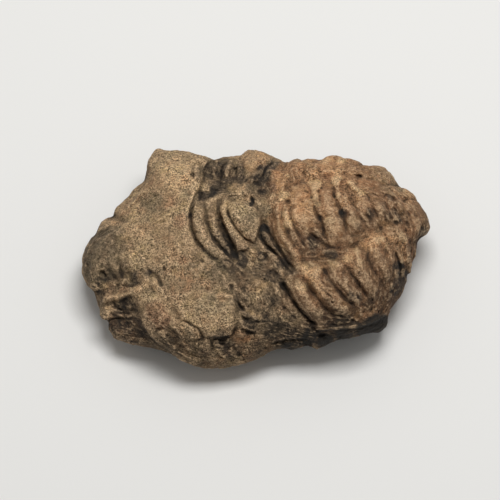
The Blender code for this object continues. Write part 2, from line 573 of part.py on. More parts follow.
def new_object(name, mesh, collection):
    obj = bpy.data.objects.new(name, mesh)
    collection.objects.link(obj)
    return obj


def thinned(mesh, collection, triangles):
    """A copy of the mesh with about this many triangles, fewest where the skin is flat."""
    helper = new_object("dense_lump", mesh, collection)
    thin = helper.modifiers.new("thin", "DECIMATE")
    thin.ratio = triangles / len(mesh.polygons)
    thin.use_collapse_triangulate = True
    graph = bpy.context.evaluated_depsgraph_get()
    result = bpy.data.meshes.new_from_object(helper.evaluated_get(graph))
    bpy.data.objects.remove(helper)
    return result


def cut_base(bm):
    """Cuts the underside flat, which is the face that the stone rests on."""
    geometry = bm.verts[:] + bm.edges[:] + bm.faces[:]
    plane = Vector((0, 0, -BASE_DROP))
    cut = bmesh.ops.bisect_plane(
        bm, geom=geometry, plane_co=plane, plane_no=(0, 0, -1), clear_outer=True, dist=1e-7
    )
    rim = [e for e in cut["geom_cut"] if isinstance(e, bmesh.types.BMEdge)]
    bmesh.ops.contextual_create(bm, geom=rim)
    bmesh.ops.recalc_face_normals(bm, faces=bm.faces[:])


def settle(mesh):
    """Centres the stone on the origin in plan, puts its base on z = 0 and gives it its stated length."""
    corners = np.array([v.co for v in mesh.vertices])
    low, high = corners.min(axis=0), corners.max(axis=0)
    middle = Vector(((low[0] + high[0]) / 2, (low[1] + high[1]) / 2, low[2]))
    mesh.transform(Matrix.Translation(-middle))
    mesh.transform(Matrix.Scale(LENGTH / (high[0] - low[0]), 4))


def stone_material():
    material = bpy.data.materials.new("brown_stone")
    material.use_nodes = True
    surface = material.node_tree.nodes["Principled BSDF"]
    surface.inputs["Base Color"].default_value = (0.19, 0.125, 0.075, 1)
    surface.inputs["Roughness"].default_value = 0.9
    surface.inputs["Metallic"].default_value = 0.0
    return material


def main():
    for obj in list(bpy.data.objects):
        bpy.data.objects.remove(obj)
    parts = bpy.data.collections.new(NAME)
    bpy.context.scene.collection.children.link(parts)

    bm = bmesh.new()
    bmesh.ops.create_icosphere(bm, subdivisions=FINE_LEVEL, radius=1)
    carve_lump(bm)
    dense = bpy.data.meshes.new("dense_lump")
    bm.to_mesh(dense)
    bm.free()

    mesh = thinned(dense, parts, TRIANGLES)
    bm = bmesh.new()
    bm.from_mesh(mesh)
    cut_base(bm)
    bm.to_mesh(mesh)
    bm.free()
    settle(mesh)
    mesh.name = NAME
    mesh.materials.clear()
    mesh.materials.append(stone_material())
    mesh.shade_smooth()
    mesh.set_sharp_from_angle(angle=SHARP_ANGLE)
    new_object(NAME, mesh, parts)


main()
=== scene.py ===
import math

import bpy
import numpy as np
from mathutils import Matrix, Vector, kdtree, noise


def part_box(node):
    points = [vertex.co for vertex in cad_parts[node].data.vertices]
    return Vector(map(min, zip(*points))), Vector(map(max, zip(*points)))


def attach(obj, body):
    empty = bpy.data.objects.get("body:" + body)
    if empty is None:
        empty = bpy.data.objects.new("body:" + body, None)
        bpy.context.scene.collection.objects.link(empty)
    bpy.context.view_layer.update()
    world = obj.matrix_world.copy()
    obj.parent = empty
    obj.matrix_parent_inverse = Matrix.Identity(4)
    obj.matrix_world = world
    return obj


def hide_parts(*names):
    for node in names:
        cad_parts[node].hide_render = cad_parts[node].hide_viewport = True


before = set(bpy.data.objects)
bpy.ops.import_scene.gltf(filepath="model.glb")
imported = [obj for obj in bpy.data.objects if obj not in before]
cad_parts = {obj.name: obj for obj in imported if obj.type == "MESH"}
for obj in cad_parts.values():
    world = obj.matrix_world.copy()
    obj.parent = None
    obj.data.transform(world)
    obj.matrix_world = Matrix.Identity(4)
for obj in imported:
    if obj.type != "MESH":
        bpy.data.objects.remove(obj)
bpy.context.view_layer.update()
noise.seed_set(4)  # noise_vector takes its seed from the clock without this

# A trilobite in its lump of sandy stone. The forms are laid out in millimetres on a plane that faces the
# camera: across runs to the tail at +X, up runs away from the camera. sightRise is the camera's height angle.
mm = 0.001
sightRise = math.radians(60)

lump = {
    "combing": 9,
    "lineDepth": 0.05,
    "ridgeGain": 1.5,
    "crackWidth": 0.8,
    "topDepth": 16.0,
    "underDepth": 12.5,
    "fullness": 2.35,
    "rimSlant": -0.34,
    "baseDrop": 10.3,
    "ballLevel": 7,  # icosphere level, 82k faces
    "fineFrom": 0.10,  # faces whose direction leans this far to the camera get split once more
    "broadRough": 0.7,
    "smallRough": 0.28,
    "roughSeed": (3.1, 7.7, 1.3),
    "broadWobble": 0.4,  # how far the forms stray from their drawn places
    "fineWobble": 0.14,
    "outline": [
        (40.0, 7.2), (39.0, 10.4), (37.6, 13.1), (35.2, 15.8), (32.2, 17.7), (30.4, 20.4), (28.2, 21.5),
        (25.5, 21.2), (22.3, 22.3), (19.0, 23.4), (16.3, 23.1), (14.7, 22.6), (11.5, 22.9), (8.2, 22.7),
        (6.3, 22.3), (2.2, 24.3), (-0.5, 24.9), (-2.6, 24.3), (-3.7, 23.4), (-6.9, 23.1), (-10.2, 22.7),
        (-14.0, 23.9), (-19.2, 25.2), (-22.9, 25.0), (-25.1, 23.0), (-26.2, 18.4), (-30.4, 13.8),
        (-32.6, 11.2), (-32.8, 9.3), (-35.5, 8.7), (-37.2, 5.5), (-39.6, 2.8), (-40.0, -1.0), (-40.0, -3.6),
        (-39.1, -6.6), (-37.5, -7.4), (-36.2, -10.9), (-35.8, -13.4), (-34.4, -14.7), (-34.3, -16.6),
        (-32.6, -18.4), (-29.5, -19.5), (-26.0, -20.0), (-22.4, -20.8), (-18.3, -22.8), (-14.5, -24.2),
        (-10.7, -25.2), (-6.9, -24.5), (-2.6, -23.9), (2.2, -21.8), (4.9, -20.7), (11.5, -20.1),
        (13.6, -21.2), (16.3, -19.9), (19.6, -18.8), (24.4, -17.4), (28.2, -17.0), (30.0, -15.6),
        (30.5, -12.5), (31.9, -10.3), (34.1, -7.2), (35.7, -3.1), (37.4, 0.1), (37.9, 4.2), (39.3, 5.0),
    ],
}

# name: across, up, radius, height
swells = {
    "plateau": (-20.0, 4.0, 17.0, 1.2),
    "backLeftCorner": (-19.5, 19.5, 9.0, 2.0),
    "leftLump": (-36.0, 1.2, 7.4, 2.5),
    "lumpValley": (-30.6, 2.2, 4.0, -1.4),
    "leftHollow": (-32.6, -4.4, 4.6, -2.4),
    "underLumpHollow": (-31.0, -11.8, 4.6, -2.4),
    "greyFlat": (-9.5, -12.0, 8.0, 1.4),
    "prow": (-16.0, -20.0, 7.0, 1.0),
    "frontLeftFace": (-28.0, -16.0, 6.0, -1.8),
    "valleyBack": (-8.6, 18.2, 6.0, -2.4),
    "valleyMiddle": (-8.0, 5.0, 7.5, -2.2),
    "valleyGap": (2.6, 8.6, 4.2, -1.8),
    "valleyFront": (2.0, -5.0, 8.0, -1.8),
    "valleyLow": (5.0, -16.0, 7.0, -1.8),
    "orangeKnob": (0.6, 21.0, 5.2, 2.2),
    "wedgeSwell": (-2.6, 9.2, 5.0, 1.3),
    "frontMiddleLump": (0.4, -7.4, 4.4, 1.6),
    "brokenFace": (-4.6, -20.4, 5.5, -1.4),
    "thoraxCrown": (16.0, 7.0, 12.0, 1.2),
    "thoraxFront": (20.0, -8.0, 13.0, 1.2),
    "tailFall": (37.0, -4.0, 8.0, -1.8),
    "tailKnob": (37.6, 8.0, 4.4, 1.1),
    "backFall": (31.0, 16.5, 7.0, -0.7),
    "greyDip": (-22.6, 12.9, 4.5, -0.5),
    "plateauDip": (-15.0, -1.6, 5.0, -0.5),
}

# name: across, up, radius, height. Small swells, pressed after the broad ones
knobs = {
    "lowLeftNub": (-35.0, -12.8, 2.2, 0.9),
    "hollowRight": (-28.2, -4.6, 3.2, -1.2),
    "prowHollow": (-18.6, -16.0, 3.0, -0.8),
    "wedgeCap": (-4.2, 15.6, 2.8, 1.3),
    "capRight": (-1.8, 15.6, 2.0, 0.7),
    "recessHollow": (-12.5, 14.3, 2.0, -1.3),
    "olivePatch": (-16.4, 15.5, 2.4, -0.5),
    "ringTwoHigh": (10.2, 13.4, 3.0, 0.9),
    "ringTwoMiddle": (10.8, 9.8, 3.2, 0.9),
    "ringTwoFoot": (12.6, 4.2, 2.2, -0.7),
    "ringThreeHigh": (13.8, 16.6, 1.7, 1.2),
    "ringThreeLow": (17.5, 7.3, 2.7, 1.6),
    "ringThreeFoot": (17.7, 4.4, 1.8, 0.9),
    "ringFourHigh": (18.4, 18.3, 1.6, 1.0),
    "ringFourLow": (22.3, 7.6, 2.2, 1.2),
    "ringFiveHigh": (21.4, 17.6, 1.6, 0.7),
    "ringFiveMiddle": (24.0, 13.2, 1.8, 0.5),
    "ringSixLow": (28.8, 10.4, 2.2, 0.5),
    "tailRise": (31.6, 6.0, 3.2, 1.0),
    "tailEnd": (37.4, 7.2, 2.4, 0.6),
    "ribHeadA": (10.1, -6.4, 1.7, 0.7),
    "ribHeadB": (12.4, -3.1, 2.3, 1.0),
    "ribHeadC": (18.4, -1.4, 2.2, 0.7),
    "ribHeadD": (23.2, 0.9, 1.8, 0.9),
    "ribHeadE": (27.8, 3.8, 2.6, 0.9),
    "ribHeadF": (33.5, 4.8, 1.7, 0.6),
    "farKnobOne": (19.3, 22.6, 1.8, 0.8),
    "farKnobTwo": (15.4, 22.0, 1.8, 0.6),
    "farKnobThree": (10.0, 21.6, 2.0, 0.5),
    "middleRise": (0.6, -5.4, 1.5, 0.5),
}

# name: height, half width, points
lobes = {
    "axialLobe": (1.8, 4.8, [(6.0, 7.4), (13.0, 8.8), (20.0, 10.2), (27.0, 11.2), (34.0, 10.0)]),
    "nearLobe": (1.2, 6.0, [(12.0, -8.0), (19.0, -7.0), (26.0, -3.5), (31.0, 0.5)]),
    "farLobe": (0.9, 2.6, [(5.0, 19.4), (12.0, 20.8), (20.0, 21.2), (27.0, 19.6), (32.0, 16.6)]),
}

# name: height, half width, points
ridges = {
    "ringOneRim": (0.8, 1.0, [
        (4.6, 12.2), (4.6, 10.0), (4.9, 8.0), (5.6, 6.2), (6.2, 4.4), (7.4, 2.4), (8.6, 0.8), (10.0, -0.8),
    ]),
    "ringOneCrest": (0.45, 0.7, [(6.9, 12.2), (6.4, 10.2), (6.5, 8.6), (7.2, 7.4), (8.0, 5.8), (8.8, 4.0)]),
    "ringOneFar": (0.6, 1.0, [(5.4, 13.4), (6.2, 16.0), (6.0, 19.5)]),
    "ringTwoRim": (0.5, 0.6, [(12.3, 14.2), (12.4, 12.4), (12.7, 10.4), (13.5, 8.6), (14.2, 7.2)]),
    "ringTwoSide": (0.5, 0.7, [(8.6, 14.8), (8.5, 12.0), (8.9, 9.4), (10.0, 7.2)]),
    "ringThreeCrest": (1.0, 0.7, [(13.3, 17.2), (13.2, 15.4), (13.5, 13.8), (13.9, 12.4)]),
    "ringThreeBody": (0.8, 1.3, [(15.6, 16.6), (15.8, 13.4), (16.8, 10.4), (18.2, 7.4), (18.6, 4.8)]),
    "ringFourCrest": (0.8, 0.6, [(18.2, 18.2), (18.3, 16.0), (18.6, 13.8), (19.0, 12.4)]),
    "ringFourBody": (0.6, 1.1, [(19.9, 15.4), (20.6, 12.2), (22.0, 9.4), (23.0, 6.8)]),
    "ringFiveCrest": (0.9, 0.6, [(21.2, 17.9), (22.2, 16.3), (23.4, 15.1), (24.2, 13.8)]),
    "ringFiveBody": (0.5, 1.0, [(23.2, 12.8), (24.6, 11.2), (26.4, 9.8)]),
    "ringSix": (0.6, 0.9, [(27.0, 13.6), (28.2, 11.8), (29.2, 9.8)]),
    "ribA": (1.1, 1.2, [(8.6, -4.4), (9.8, -7.0), (11.4, -9.6), (13.2, -11.9), (15.6, -14.0)]),
    "ribACrest": (0.5, 0.5, [(9.3, -4.8), (10.1, -6.6), (11.0, -8.4)]),
    "ribB": (1.1, 1.4, [(12.0, -2.8), (14.4, -6.0), (16.8, -8.9), (19.2, -11.2), (21.8, -12.6)]),
    "ribBCrest": (0.4, 0.45, [(11.8, -4.4), (13.6, -6.8), (15.2, -8.6), (17.2, -10.8), (19.4, -12.2)]),
    "ribC": (1.0, 1.2, [(16.8, -1.8), (18.4, -4.4), (20.2, -6.8), (22.0, -9.0), (24.2, -10.9)]),
    "ribCCrest": (0.4, 0.4, [(18.6, -2.0), (19.8, -4.0), (21.6, -6.4), (23.2, -8.4)]),
    "ribD": (1.0, 1.4, [(22.8, 1.2), (23.2, -1.2), (24.4, -4.0), (26.2, -6.8), (28.0, -9.0)]),
    "ribDCrest": (0.5, 0.5, [(22.7, 1.9), (23.2, 0.4), (23.5, -1.0), (24.0, -2.4)]),
    "ribE": (0.9, 1.5, [(26.6, 3.4), (27.8, 0.4), (29.2, -2.8), (30.4, -5.6)]),
    "ribECrest": (0.6, 0.5, [(29.3, 3.8), (30.0, 2.2), (30.7, 0.4), (31.4, -1.6)]),
    "ribF": (0.9, 0.9, [(33.4, 5.8), (34.1, 4.0), (34.6, 1.4), (34.8, -1.6), (34.4, -4.4)]),
    "ribG": (0.5, 0.7, [(36.0, 5.0), (36.6, 2.6), (36.6, 0.0)]),
    "leftSeam": (1.3, 0.7, [
        (-35.8, -9.8), (-33.4, -9.0), (-30.8, -8.8), (-28.8, -8.2), (-26.8, -7.2), (-25.0, -6.1),
    ]),
    "seamEnd": (0.7, 0.8, [(-25.0, -6.0), (-23.6, -6.0), (-22.4, -6.8), (-21.8, -8.4)]),
    "prowEdge": (1.4, 1.4, [
        (-26.3, -11.5), (-24.6, -15.6), (-21.4, -19.0), (-17.2, -22.2), (-12.6, -24.2),
    ]),
    "prowCrest": (0.9, 0.9, [(-20.0, -13.2), (-18.6, -16.2), (-16.4, -19.2)]),
    "wedgeStrip": (0.8, 0.7, [
        (-7.2, 13.0), (-7.7, 11.4), (-7.4, 9.4), (-6.5, 7.0), (-5.3, 4.8), (-4.0, 2.9),
    ]),
    "wedgeCrease": (0.3, 0.35, [(-6.0, 12.2), (-5.2, 11.4), (-4.2, 10.6), (-2.6, 9.8)]),
    "crescentOne": (0.7, 1.1, [
        (-13.0, 12.0), (-13.3, 9.0), (-12.7, 6.2), (-11.2, 3.8), (-9.2, 1.4), (-7.4, -0.2),
    ]),
    "crescentTwo": (0.4, 0.6, [(-10.3, 11.4), (-10.0, 8.4), (-9.2, 5.6), (-7.8, 3.2), (-6.4, 1.4)]),
    "wedgeFoot": (0.6, 0.7, [(-3.6, 3.0), (-2.0, 2.4), (-0.4, 1.0), (0.6, -0.2)]),
    "creviceRidge": (0.9, 0.5, [(1.9, 6.2), (2.5, 4.6), (3.4, 3.2), (4.6, 1.9), (5.6, 0.4)]),
    "darkHump": (0.7, 0.7, [(-7.8, -0.6), (-6.8, -1.4), (-6.0, -2.4)]),
    "backLedge": (0.8, 1.0, [(-31.0, 10.4), (-28.0, 13.4), (-25.6, 16.4)]),
    "lumpStreak": (0.6, 0.6, [(-36.8, 5.8), (-34.6, 7.4), (-32.8, 8.4)]),
    "plateauLip": (0.4, 0.4, [(-28.0, 0.9), (-26.6, 0.9), (-25.9, 0.1), (-25.8, -1.0)]),
    "flatTop": (0.6, 0.5, [(-10.4, -8.9), (-7.6, -8.5), (-5.0, -8.7)]),
    "middleCrest": (0.8, 0.7, [(1.8, -5.0), (0.4, -5.6), (-0.8, -6.6), (-1.6, -7.6)]),
    "middleFold": (0.6, 0.7, [(-3.4, -7.6), (-2.2, -9.0), (-1.8, -10.8)]),
    "valleySide": (0.5, 0.8, [(4.2, -4.8), (5.2, -8.0), (6.8, -10.6), (8.8, -12.8)]),
    "lowLedge": (0.6, 0.7, [(-3.6, -12.6), (-2.0, -13.1), (-0.4, -13.6), (1.0, -13.8), (2.8, -14.4)]),
    "redStep": (0.9, 0.6, [(-5.4, -17.0), (-3.6, -17.4), (-2.0, -18.0)]),
    "crackLip": (0.6, 0.3, [(-3.9, -15.6), (-2.4, -16.0), (-0.9, -16.7)]),
    "backFoldOne": (1.1, 0.6, [(-9.2, 22.4), (-9.9, 19.8), (-9.4, 17.6)]),
    "backFoldTwo": (1.2, 0.9, [(-5.8, 22.4), (-6.7, 20.4), (-6.8, 17.8)]),
    "backFoldThree": (0.9, 0.6, [(-13.4, 21.6), (-13.9, 19.8), (-13.4, 17.6)]),
    "lowRim": (0.9, 0.6, [(15.4, -16.0), (18.6, -15.9), (21.6, -15.6), (24.6, -15.0), (27.4, -13.9), (29.6, -12.6)]),
}

# name: depth, half width on the left, half width on the right, how dark the crack is painted (silt settled there and
# painted shade), points. Cracks and the gaps between ribs
grooves = {
    "nearFurrow": (1.1, 1.6, 1.6, 0.1, [
        (8.8, -1.0), (12.6, -0.2), (16.8, 0.8), (20.6, 2.6), (24.0, 4.6), (27.0, 6.3), (30.0, 7.8), (33.4, 7.9),
    ]),
    "furrowDash1": (0.9, 0.4, 0.5, 1.1, [(15.1, 0.5), (16.4, 0.1), (17.6, 0.2), (18.9, 0.6)]),
    "furrowDash2": (0.6, 0.3, 0.3, 0.9, [(20.0, 2.5), (21.6, 2.6), (23.1, 3.5)]),
    "furrowDash3": (0.5, 0.3, 0.3, 0.8, [(20.5, 5.2), (21.8, 5.0), (23.4, 5.3)]),
    "furrowDash4": (0.5, 0.3, 0.3, 0.8, [(27.2, 5.7), (28.6, 5.5), (30.0, 5.5)]),
    "furrowDash5": (0.3, 0.3, 0.3, 0.4, [(10.8, 0.6), (12.4, 1.0), (13.8, 0.6)]),
    "farFurrow": (1.2, 1.1, 1.2, 0.2, [
        (2.7, 12.6), (7.8, 16.5), (12.8, 17.9), (18.1, 19.2), (23.8, 18.8), (28.5, 17.2), (33.8, 14.0),
    ]),
    "ringGap0": (0.4, 0.5, 0.4, 0.3, [(3.9, 13.0), (3.6, 10.8), (3.9, 8.6), (4.5, 7.2)]),
    "ringLine0": (0.4, 0.3, 0.35, 0.6, [(5.4, 10.4), (5.2, 8.6), (5.5, 7.0), (6.3, 5.6), (7.0, 4.4), (7.9, 3.0)]),
    "ringGap1": (1.0, 0.5, 0.4, 0.6, [
        (7.7, 12.4), (7.7, 10.4), (7.9, 8.6), (8.6, 7.0), (9.6, 5.4), (10.3, 3.9), (11.4, 2.0),
    ]),
    "ringLine1": (0.8, 0.3, 0.3, 1.0, [(6.2, 17.0), (7.1, 15.8), (7.6, 15.0)]),
    "ringLine2": (0.4, 0.25, 0.3, 0.8, [(4.1, 12.3), (5.3, 12.8), (6.5, 13.4), (7.2, 13.2)]),
    "ringGap2Top": (0.8, 0.3, 0.3, 0.6, [(12.3, 15.0), (12.6, 13.6), (12.8, 12.2)]),
    "ringGap2": (2.2, 0.4, 0.5, 1.2, [
        (12.8, 12.4), (13.2, 11.0), (13.7, 9.9), (14.4, 8.9), (14.9, 7.8), (15.2, 6.4), (15.4, 5.2), (15.9, 3.9),
    ]),
    "ringTwoFoot": (1.1, 0.35, 0.5, 1.2, [
        (11.8, 6.3), (12.8, 5.2), (13.7, 4.5), (14.6, 3.8), (15.8, 2.9), (16.9, 2.4), (18.6, 2.3),
    ]),
    "ringHook": (0.8, 0.3, 0.35, 1.1, [(10.2, 15.9), (11.2, 15.3), (11.9, 14.7), (12.5, 14.9)]),
    "ringThreeLine": (0.5, 0.3, 0.3, 0.7, [(14.3, 15.2), (14.2, 13.8), (14.7, 12.4)]),
    "ringGap3": (1.5, 0.5, 0.5, 0.7, [
        (17.7, 17.4), (17.7, 15.4), (18.0, 13.6), (18.5, 12.2), (19.2, 10.8), (19.8, 9.4), (20.1, 7.8), (20.3, 5.6),
    ]),
    "ringGap4": (1.0, 0.5, 0.5, 0.4, [(20.5, 17.4), (20.8, 15.2), (21.6, 13.0), (22.6, 11.2), (23.9, 10.1)]),
    "ringLip4": (1.0, 0.3, 0.35, 1.2, [(23.8, 10.1), (25.2, 9.6), (26.2, 8.7), (26.9, 7.3)]),
    "ringGap5": (1.1, 0.6, 0.6, 0.5, [(24.8, 15.4), (25.8, 13.4), (26.8, 11.4), (27.8, 9.4), (28.4, 8.2)]),
    "ringGap6": (0.9, 0.5, 0.6, 0.5, [(29.0, 13.2), (30.2, 11.0), (31.0, 8.8)]),
    "ringGap7": (1.0, 0.6, 0.7, 0.5, [(31.8, 12.0), (32.8, 8.8)]),
    "ringGap8": (0.8, 0.6, 0.7, 0.4, [(34.6, 11.6), (35.4, 8.4)]),
    "farCrack1": (0.8, 0.3, 0.35, 1.2, [(25.8, 15.2), (27.0, 14.7), (28.0, 14.1)]),
    "farCrack2": (1.2, 0.35, 0.6, 1.0, [(28.8, 13.8), (29.6, 14.6), (30.5, 14.5), (31.4, 13.7), (32.3, 12.8)]),
    "farCrack3": (0.7, 0.3, 0.3, 1.1, [(24.9, 18.5), (26.3, 17.9)]),
    "farCrack4": (0.5, 0.3, 0.3, 0.8, [(24.2, 20.0), (25.6, 19.5)]),
    "farCrack5": (0.5, 0.3, 0.3, 0.8, [(28.0, 16.1), (29.0, 16.8)]),
    "farCrack6": (0.6, 0.35, 0.35, 0.8, [(23.3, 20.5), (25.0, 20.9), (27.0, 20.5), (29.0, 19.9)]),
    "farRibLine1": (0.6, 0.3, 0.35, 0.6, [(8.0, 21.8), (7.4, 19.6), (7.6, 17.2)]),
    "farRibLine2": (0.7, 0.3, 0.4, 0.7, [(11.4, 22.0), (10.9, 20.0), (11.0, 18.4)]),
    "farRibLine3": (0.6, 0.3, 0.4, 0.6, [(14.4, 21.8), (14.2, 20.0), (15.2, 18.4)]),
    "farRibLine4": (0.6, 0.3, 0.4, 0.6, [(17.6, 22.2), (17.8, 20.6), (18.8, 19.4)]),
    "farRibLine5": (0.6, 0.3, 0.4, 0.7, [(20.9, 22.0), (20.6, 20.4), (20.9, 19.2)]),
    "ribGap0": (2.2, 0.4, 0.5, 1.4, [
        (5.3, -4.6), (6.0, -6.2), (6.9, -7.7), (8.0, -9.5), (9.0, -11.0), (10.3, -12.5), (11.6, -13.7), (13.0, -14.8),
        (14.4, -15.4),
    ]),
    "ribGap1": (1.4, 0.4, 0.35, 0.9, [
        (10.2, -3.6), (11.0, -5.4), (11.9, -7.1), (13.1, -8.5), (14.4, -9.8), (15.3, -11.1), (16.5, -12.3),
        (18.0, -13.0), (20.6, -13.2),
    ]),
    "ribGap2": (1.2, 0.4, 0.35, 0.75, [
        (15.0, -1.6), (15.7, -3.2), (16.5, -4.8), (17.4, -6.1), (18.5, -7.4), (19.6, -8.7), (21.0, -10.0),
        (22.8, -11.0),
    ]),
    "ribGap3": (1.9, 0.45, 0.4, 1.2, [
        (19.8, -0.8), (20.7, -2.4), (21.7, -3.8), (22.6, -5.1), (23.5, -6.6), (24.5, -7.9), (25.6, -9.2),
    ]),
    "ribGap4": (0.9, 0.4, 0.4, 0.5, [
        (25.0, 1.4), (25.4, -0.4), (26.1, -1.9), (27.1, -3.6), (28.5, -5.8), (29.6, -7.6),
    ]),
    "ribGap5": (2.0, 0.5, 0.6, 1.3, [
        (31.2, 2.4), (31.7, 1.0), (32.3, -0.4), (32.7, -1.8), (33.0, -3.4), (33.2, -5.0),
    ]),
    "ribGap6": (0.7, 0.4, 0.4, 0.4, [(35.0, 4.6), (35.6, 2.2), (35.8, 0.0)]),
    "ribLineA1": (0.6, 0.3, 0.3, 0.7, [(10.9, -9.0), (12.2, -10.6), (13.6, -12.2), (15.4, -13.6)]),
    "ribLineA2": (0.5, 0.3, 0.3, 0.7, [(7.0, -12.0), (8.4, -13.4), (9.8, -14.6)]),
    "ribLineB1": (0.8, 0.3, 0.3, 1.0, [(13.3, -5.5), (14.6, -6.9), (16.2, -8.1), (17.4, -9.3), (18.8, -10.4)]),
    "ribLineB2": (0.5, 0.3, 0.3, 0.6, [(13.4, -4.0), (15.0, -5.6), (16.6, -7.2)]),
    "ribLineC1": (0.6, 0.3, 0.3, 0.7, [(17.6, -4.2), (18.8, -6.0), (20.2, -7.7), (21.6, -9.4)]),
    "ribLineD1": (0.5, 0.3, 0.3, 0.6, [(23.2, -3.0), (24.4, -5.0), (25.8, -6.8), (27.4, -8.6)]),
    "ribLineD2": (0.5, 0.3, 0.3, 0.5, [(24.8, -1.0), (25.6, -3.4), (26.8, -5.6), (28.2, -7.6)]),
    "ribLineE1": (0.5, 0.3, 0.3, 0.6, [(27.2, -0.6), (28.4, -3.2), (29.6, -6.0)]),
    "ribLineE2": (0.5, 0.3, 0.3, 0.6, [(28.6, 2.6), (29.4, 0.6), (30.2, -1.6), (31.2, -4.6)]),
    "crescentCrack1": (1.6, 0.35, 0.3, 1.4, [
        (-15.0, 11.4), (-15.2, 9.8), (-15.1, 8.2), (-14.9, 6.8), (-14.5, 5.4), (-13.9, 4.1), (-13.1, 3.0),
        (-12.4, 2.3), (-11.8, 1.8),
    ]),
    "crescentCrack2": (1.2, 0.3, 0.35, 1.3, [
        (-12.0, 9.6), (-11.5, 8.2), (-11.0, 6.8), (-10.5, 5.5), (-9.9, 4.4), (-9.0, 3.6), (-8.4, 2.7), (-7.6, 1.7),
        (-6.8, 0.8), (-6.0, 0.0), (-5.2, -1.2),
    ]),
    "crescentCrack3": (2.4, 0.35, 0.9, 1.3, [
        (-8.4, 11.6), (-8.2, 9.8), (-7.9, 8.2), (-7.3, 6.7), (-6.6, 5.3), (-6.0, 4.0), (-5.4, 2.6), (-4.9, 1.2),
        (-4.4, 0.0), (-3.8, -1.0),
    ]),
    "crescentTop": (0.7, 0.4, 0.4, 0.8, [(-10.2, 12.3), (-9.2, 13.0), (-8.2, 13.6), (-7.2, 14.0)]),
    "wedgeCrack": (0.9, 0.3, 0.3, 1.0, [
        (-6.7, 11.6), (-6.7, 10.2), (-6.2, 9.0), (-5.6, 8.0), (-5.0, 6.9), (-4.2, 5.8), (-3.3, 4.8), (-2.4, 4.2),
        (-1.4, 3.9), (-0.5, 3.5),
    ]),
    "wedgeTop": (0.7, 0.3, 0.35, 1.1, [(-7.4, 13.9), (-6.2, 14.2), (-5.2, 14.3), (-4.2, 14.7)]),
    "capFoot": (0.6, 0.5, 0.5, 0.3, [(-6.6, 13.6), (-4.0, 13.3), (-1.8, 13.0)]),
    "slot": (2.0, 0.4, 0.4, 1.6, [(-1.4, 14.4), (-1.1, 13.4), (-0.7, 12.6), (-0.4, 11.8)]),
    "slotBranch": (0.6, 0.35, 0.4, 0.8, [(0.0, 15.6), (0.8, 15.2), (1.6, 15.4)]),
    "mainCrevice": (1.7, 0.35, 0.35, 1.3, [
        (1.2, 8.6), (1.9, 7.4), (2.5, 6.4), (3.0, 5.4), (3.5, 4.4), (4.2, 3.2), (5.0, 1.8), (5.9, 0.6), (6.7, -0.7),
        (7.4, -1.5), (8.3, -2.3), (9.1, -3.1),
    ]),
    "sideCrevice": (1.7, 0.35, 0.35, 1.4, [
        (0.4, 6.2), (0.9, 4.8), (1.4, 3.7), (2.3, 2.9), (3.2, 2.2), (4.0, 1.4), (4.8, 0.5), (5.6, -0.6), (6.4, -1.8),
        (7.4, -2.9), (8.6, -3.9),
    ]),
    "valleyLine1": (0.7, 0.35, 0.4, 1.0, [(1.2, 1.6), (1.7, 0.7), (2.3, -0.3), (3.2, -0.8)]),
    "valleyLine2": (0.6, 0.3, 0.3, 1.2, [(-1.7, -0.8), (-0.9, -0.7), (-0.1, -0.5)]),
    "valleyLine3": (0.7, 0.3, 0.4, 0.8, [(3.2, -2.4), (4.4, -3.6), (5.2, -4.8)]),
    "valleyLine4": (0.6, 0.3, 0.4, 0.8, [(-0.8, -9.0), (-1.2, -10.2), (-0.6, -11.4), (0.8, -12.4)]),
    "valleyLine5": (0.6, 0.3, 0.3, 0.8, [(-3.6, -6.4), (-2.6, -7.6), (-1.6, -8.8), (-1.0, -9.8)]),
    "knobCrack": (1.6, 0.4, 0.4, 1.4, [
        (4.3, 22.6), (3.4, 22.0), (2.6, 21.2), (2.0, 20.3), (1.5, 19.3), (1.1, 18.3), (0.8, 17.3),
    ]),
    "knobFoot": (0.3, 0.4, 0.5, 0.3, [
        (-3.4, 19.8), (-2.2, 19.5), (-0.6, 20.1), (0.8, 20.9), (2.0, 21.9), (3.0, 22.8),
    ]),
    "knobSide": (0.8, 0.3, 0.4, 0.8, [(-3.6, 22.8), (-3.2, 21.2), (-2.9, 19.8)]),
    "backCrack1": (1.2, 0.3, 0.35, 1.3, [(-10.8, 22.4), (-11.5, 21.4), (-12.2, 20.4), (-12.3, 19.2), (-12.1, 18.0)]),
    "backCrack2": (1.6, 0.35, 0.4, 1.4, [
        (-6.6, 22.4), (-7.4, 21.5), (-8.0, 20.5), (-8.3, 19.2), (-8.4, 17.8), (-8.2, 16.6),
    ]),
    "backCrack3": (0.8, 0.3, 0.3, 1.2, [(-10.3, 21.9), (-9.6, 21.1), (-8.7, 20.3)]),
    "backCrack4": (1.0, 0.5, 0.5, 0.9, [(-4.6, 21.6), (-4.7, 20.2), (-4.8, 18.8), (-4.6, 17.6)]),
    "backCrack5": (0.5, 0.3, 0.3, 0.6, [(-6.0, 21.0), (-6.2, 19.2), (-6.4, 17.8)]),
    "backArc": (0.7, 0.3, 0.35, 1.2, [(-6.4, 22.0), (-5.2, 22.5), (-4.0, 23.0)]),
    "recessLine1": (0.9, 0.35, 0.4, 1.3, [(-14.0, 12.8), (-13.1, 13.5), (-12.7, 14.4), (-12.4, 15.4)]),
    "recessLine2": (0.6, 0.3, 0.35, 1.1, [(-11.6, 15.6), (-11.0, 14.8)]),
    "lowCrack1": (2.1, 0.4, 0.45, 1.7, [(-4.9, -9.4), (-4.2, -10.6), (-3.4, -11.6), (-2.4, -12.5)]),
    "lowCrack2": (1.1, 0.3, 0.3, 1.3, [(-4.0, -12.7), (-3.2, -13.4), (-2.2, -14.0), (-1.4, -14.3)]),
    "lowCrack3": (1.6, 0.3, 0.4, 1.6, [(-3.8, -15.9), (-2.8, -16.4), (-1.8, -16.9), (-0.6, -17.2), (0.6, -17.0)]),
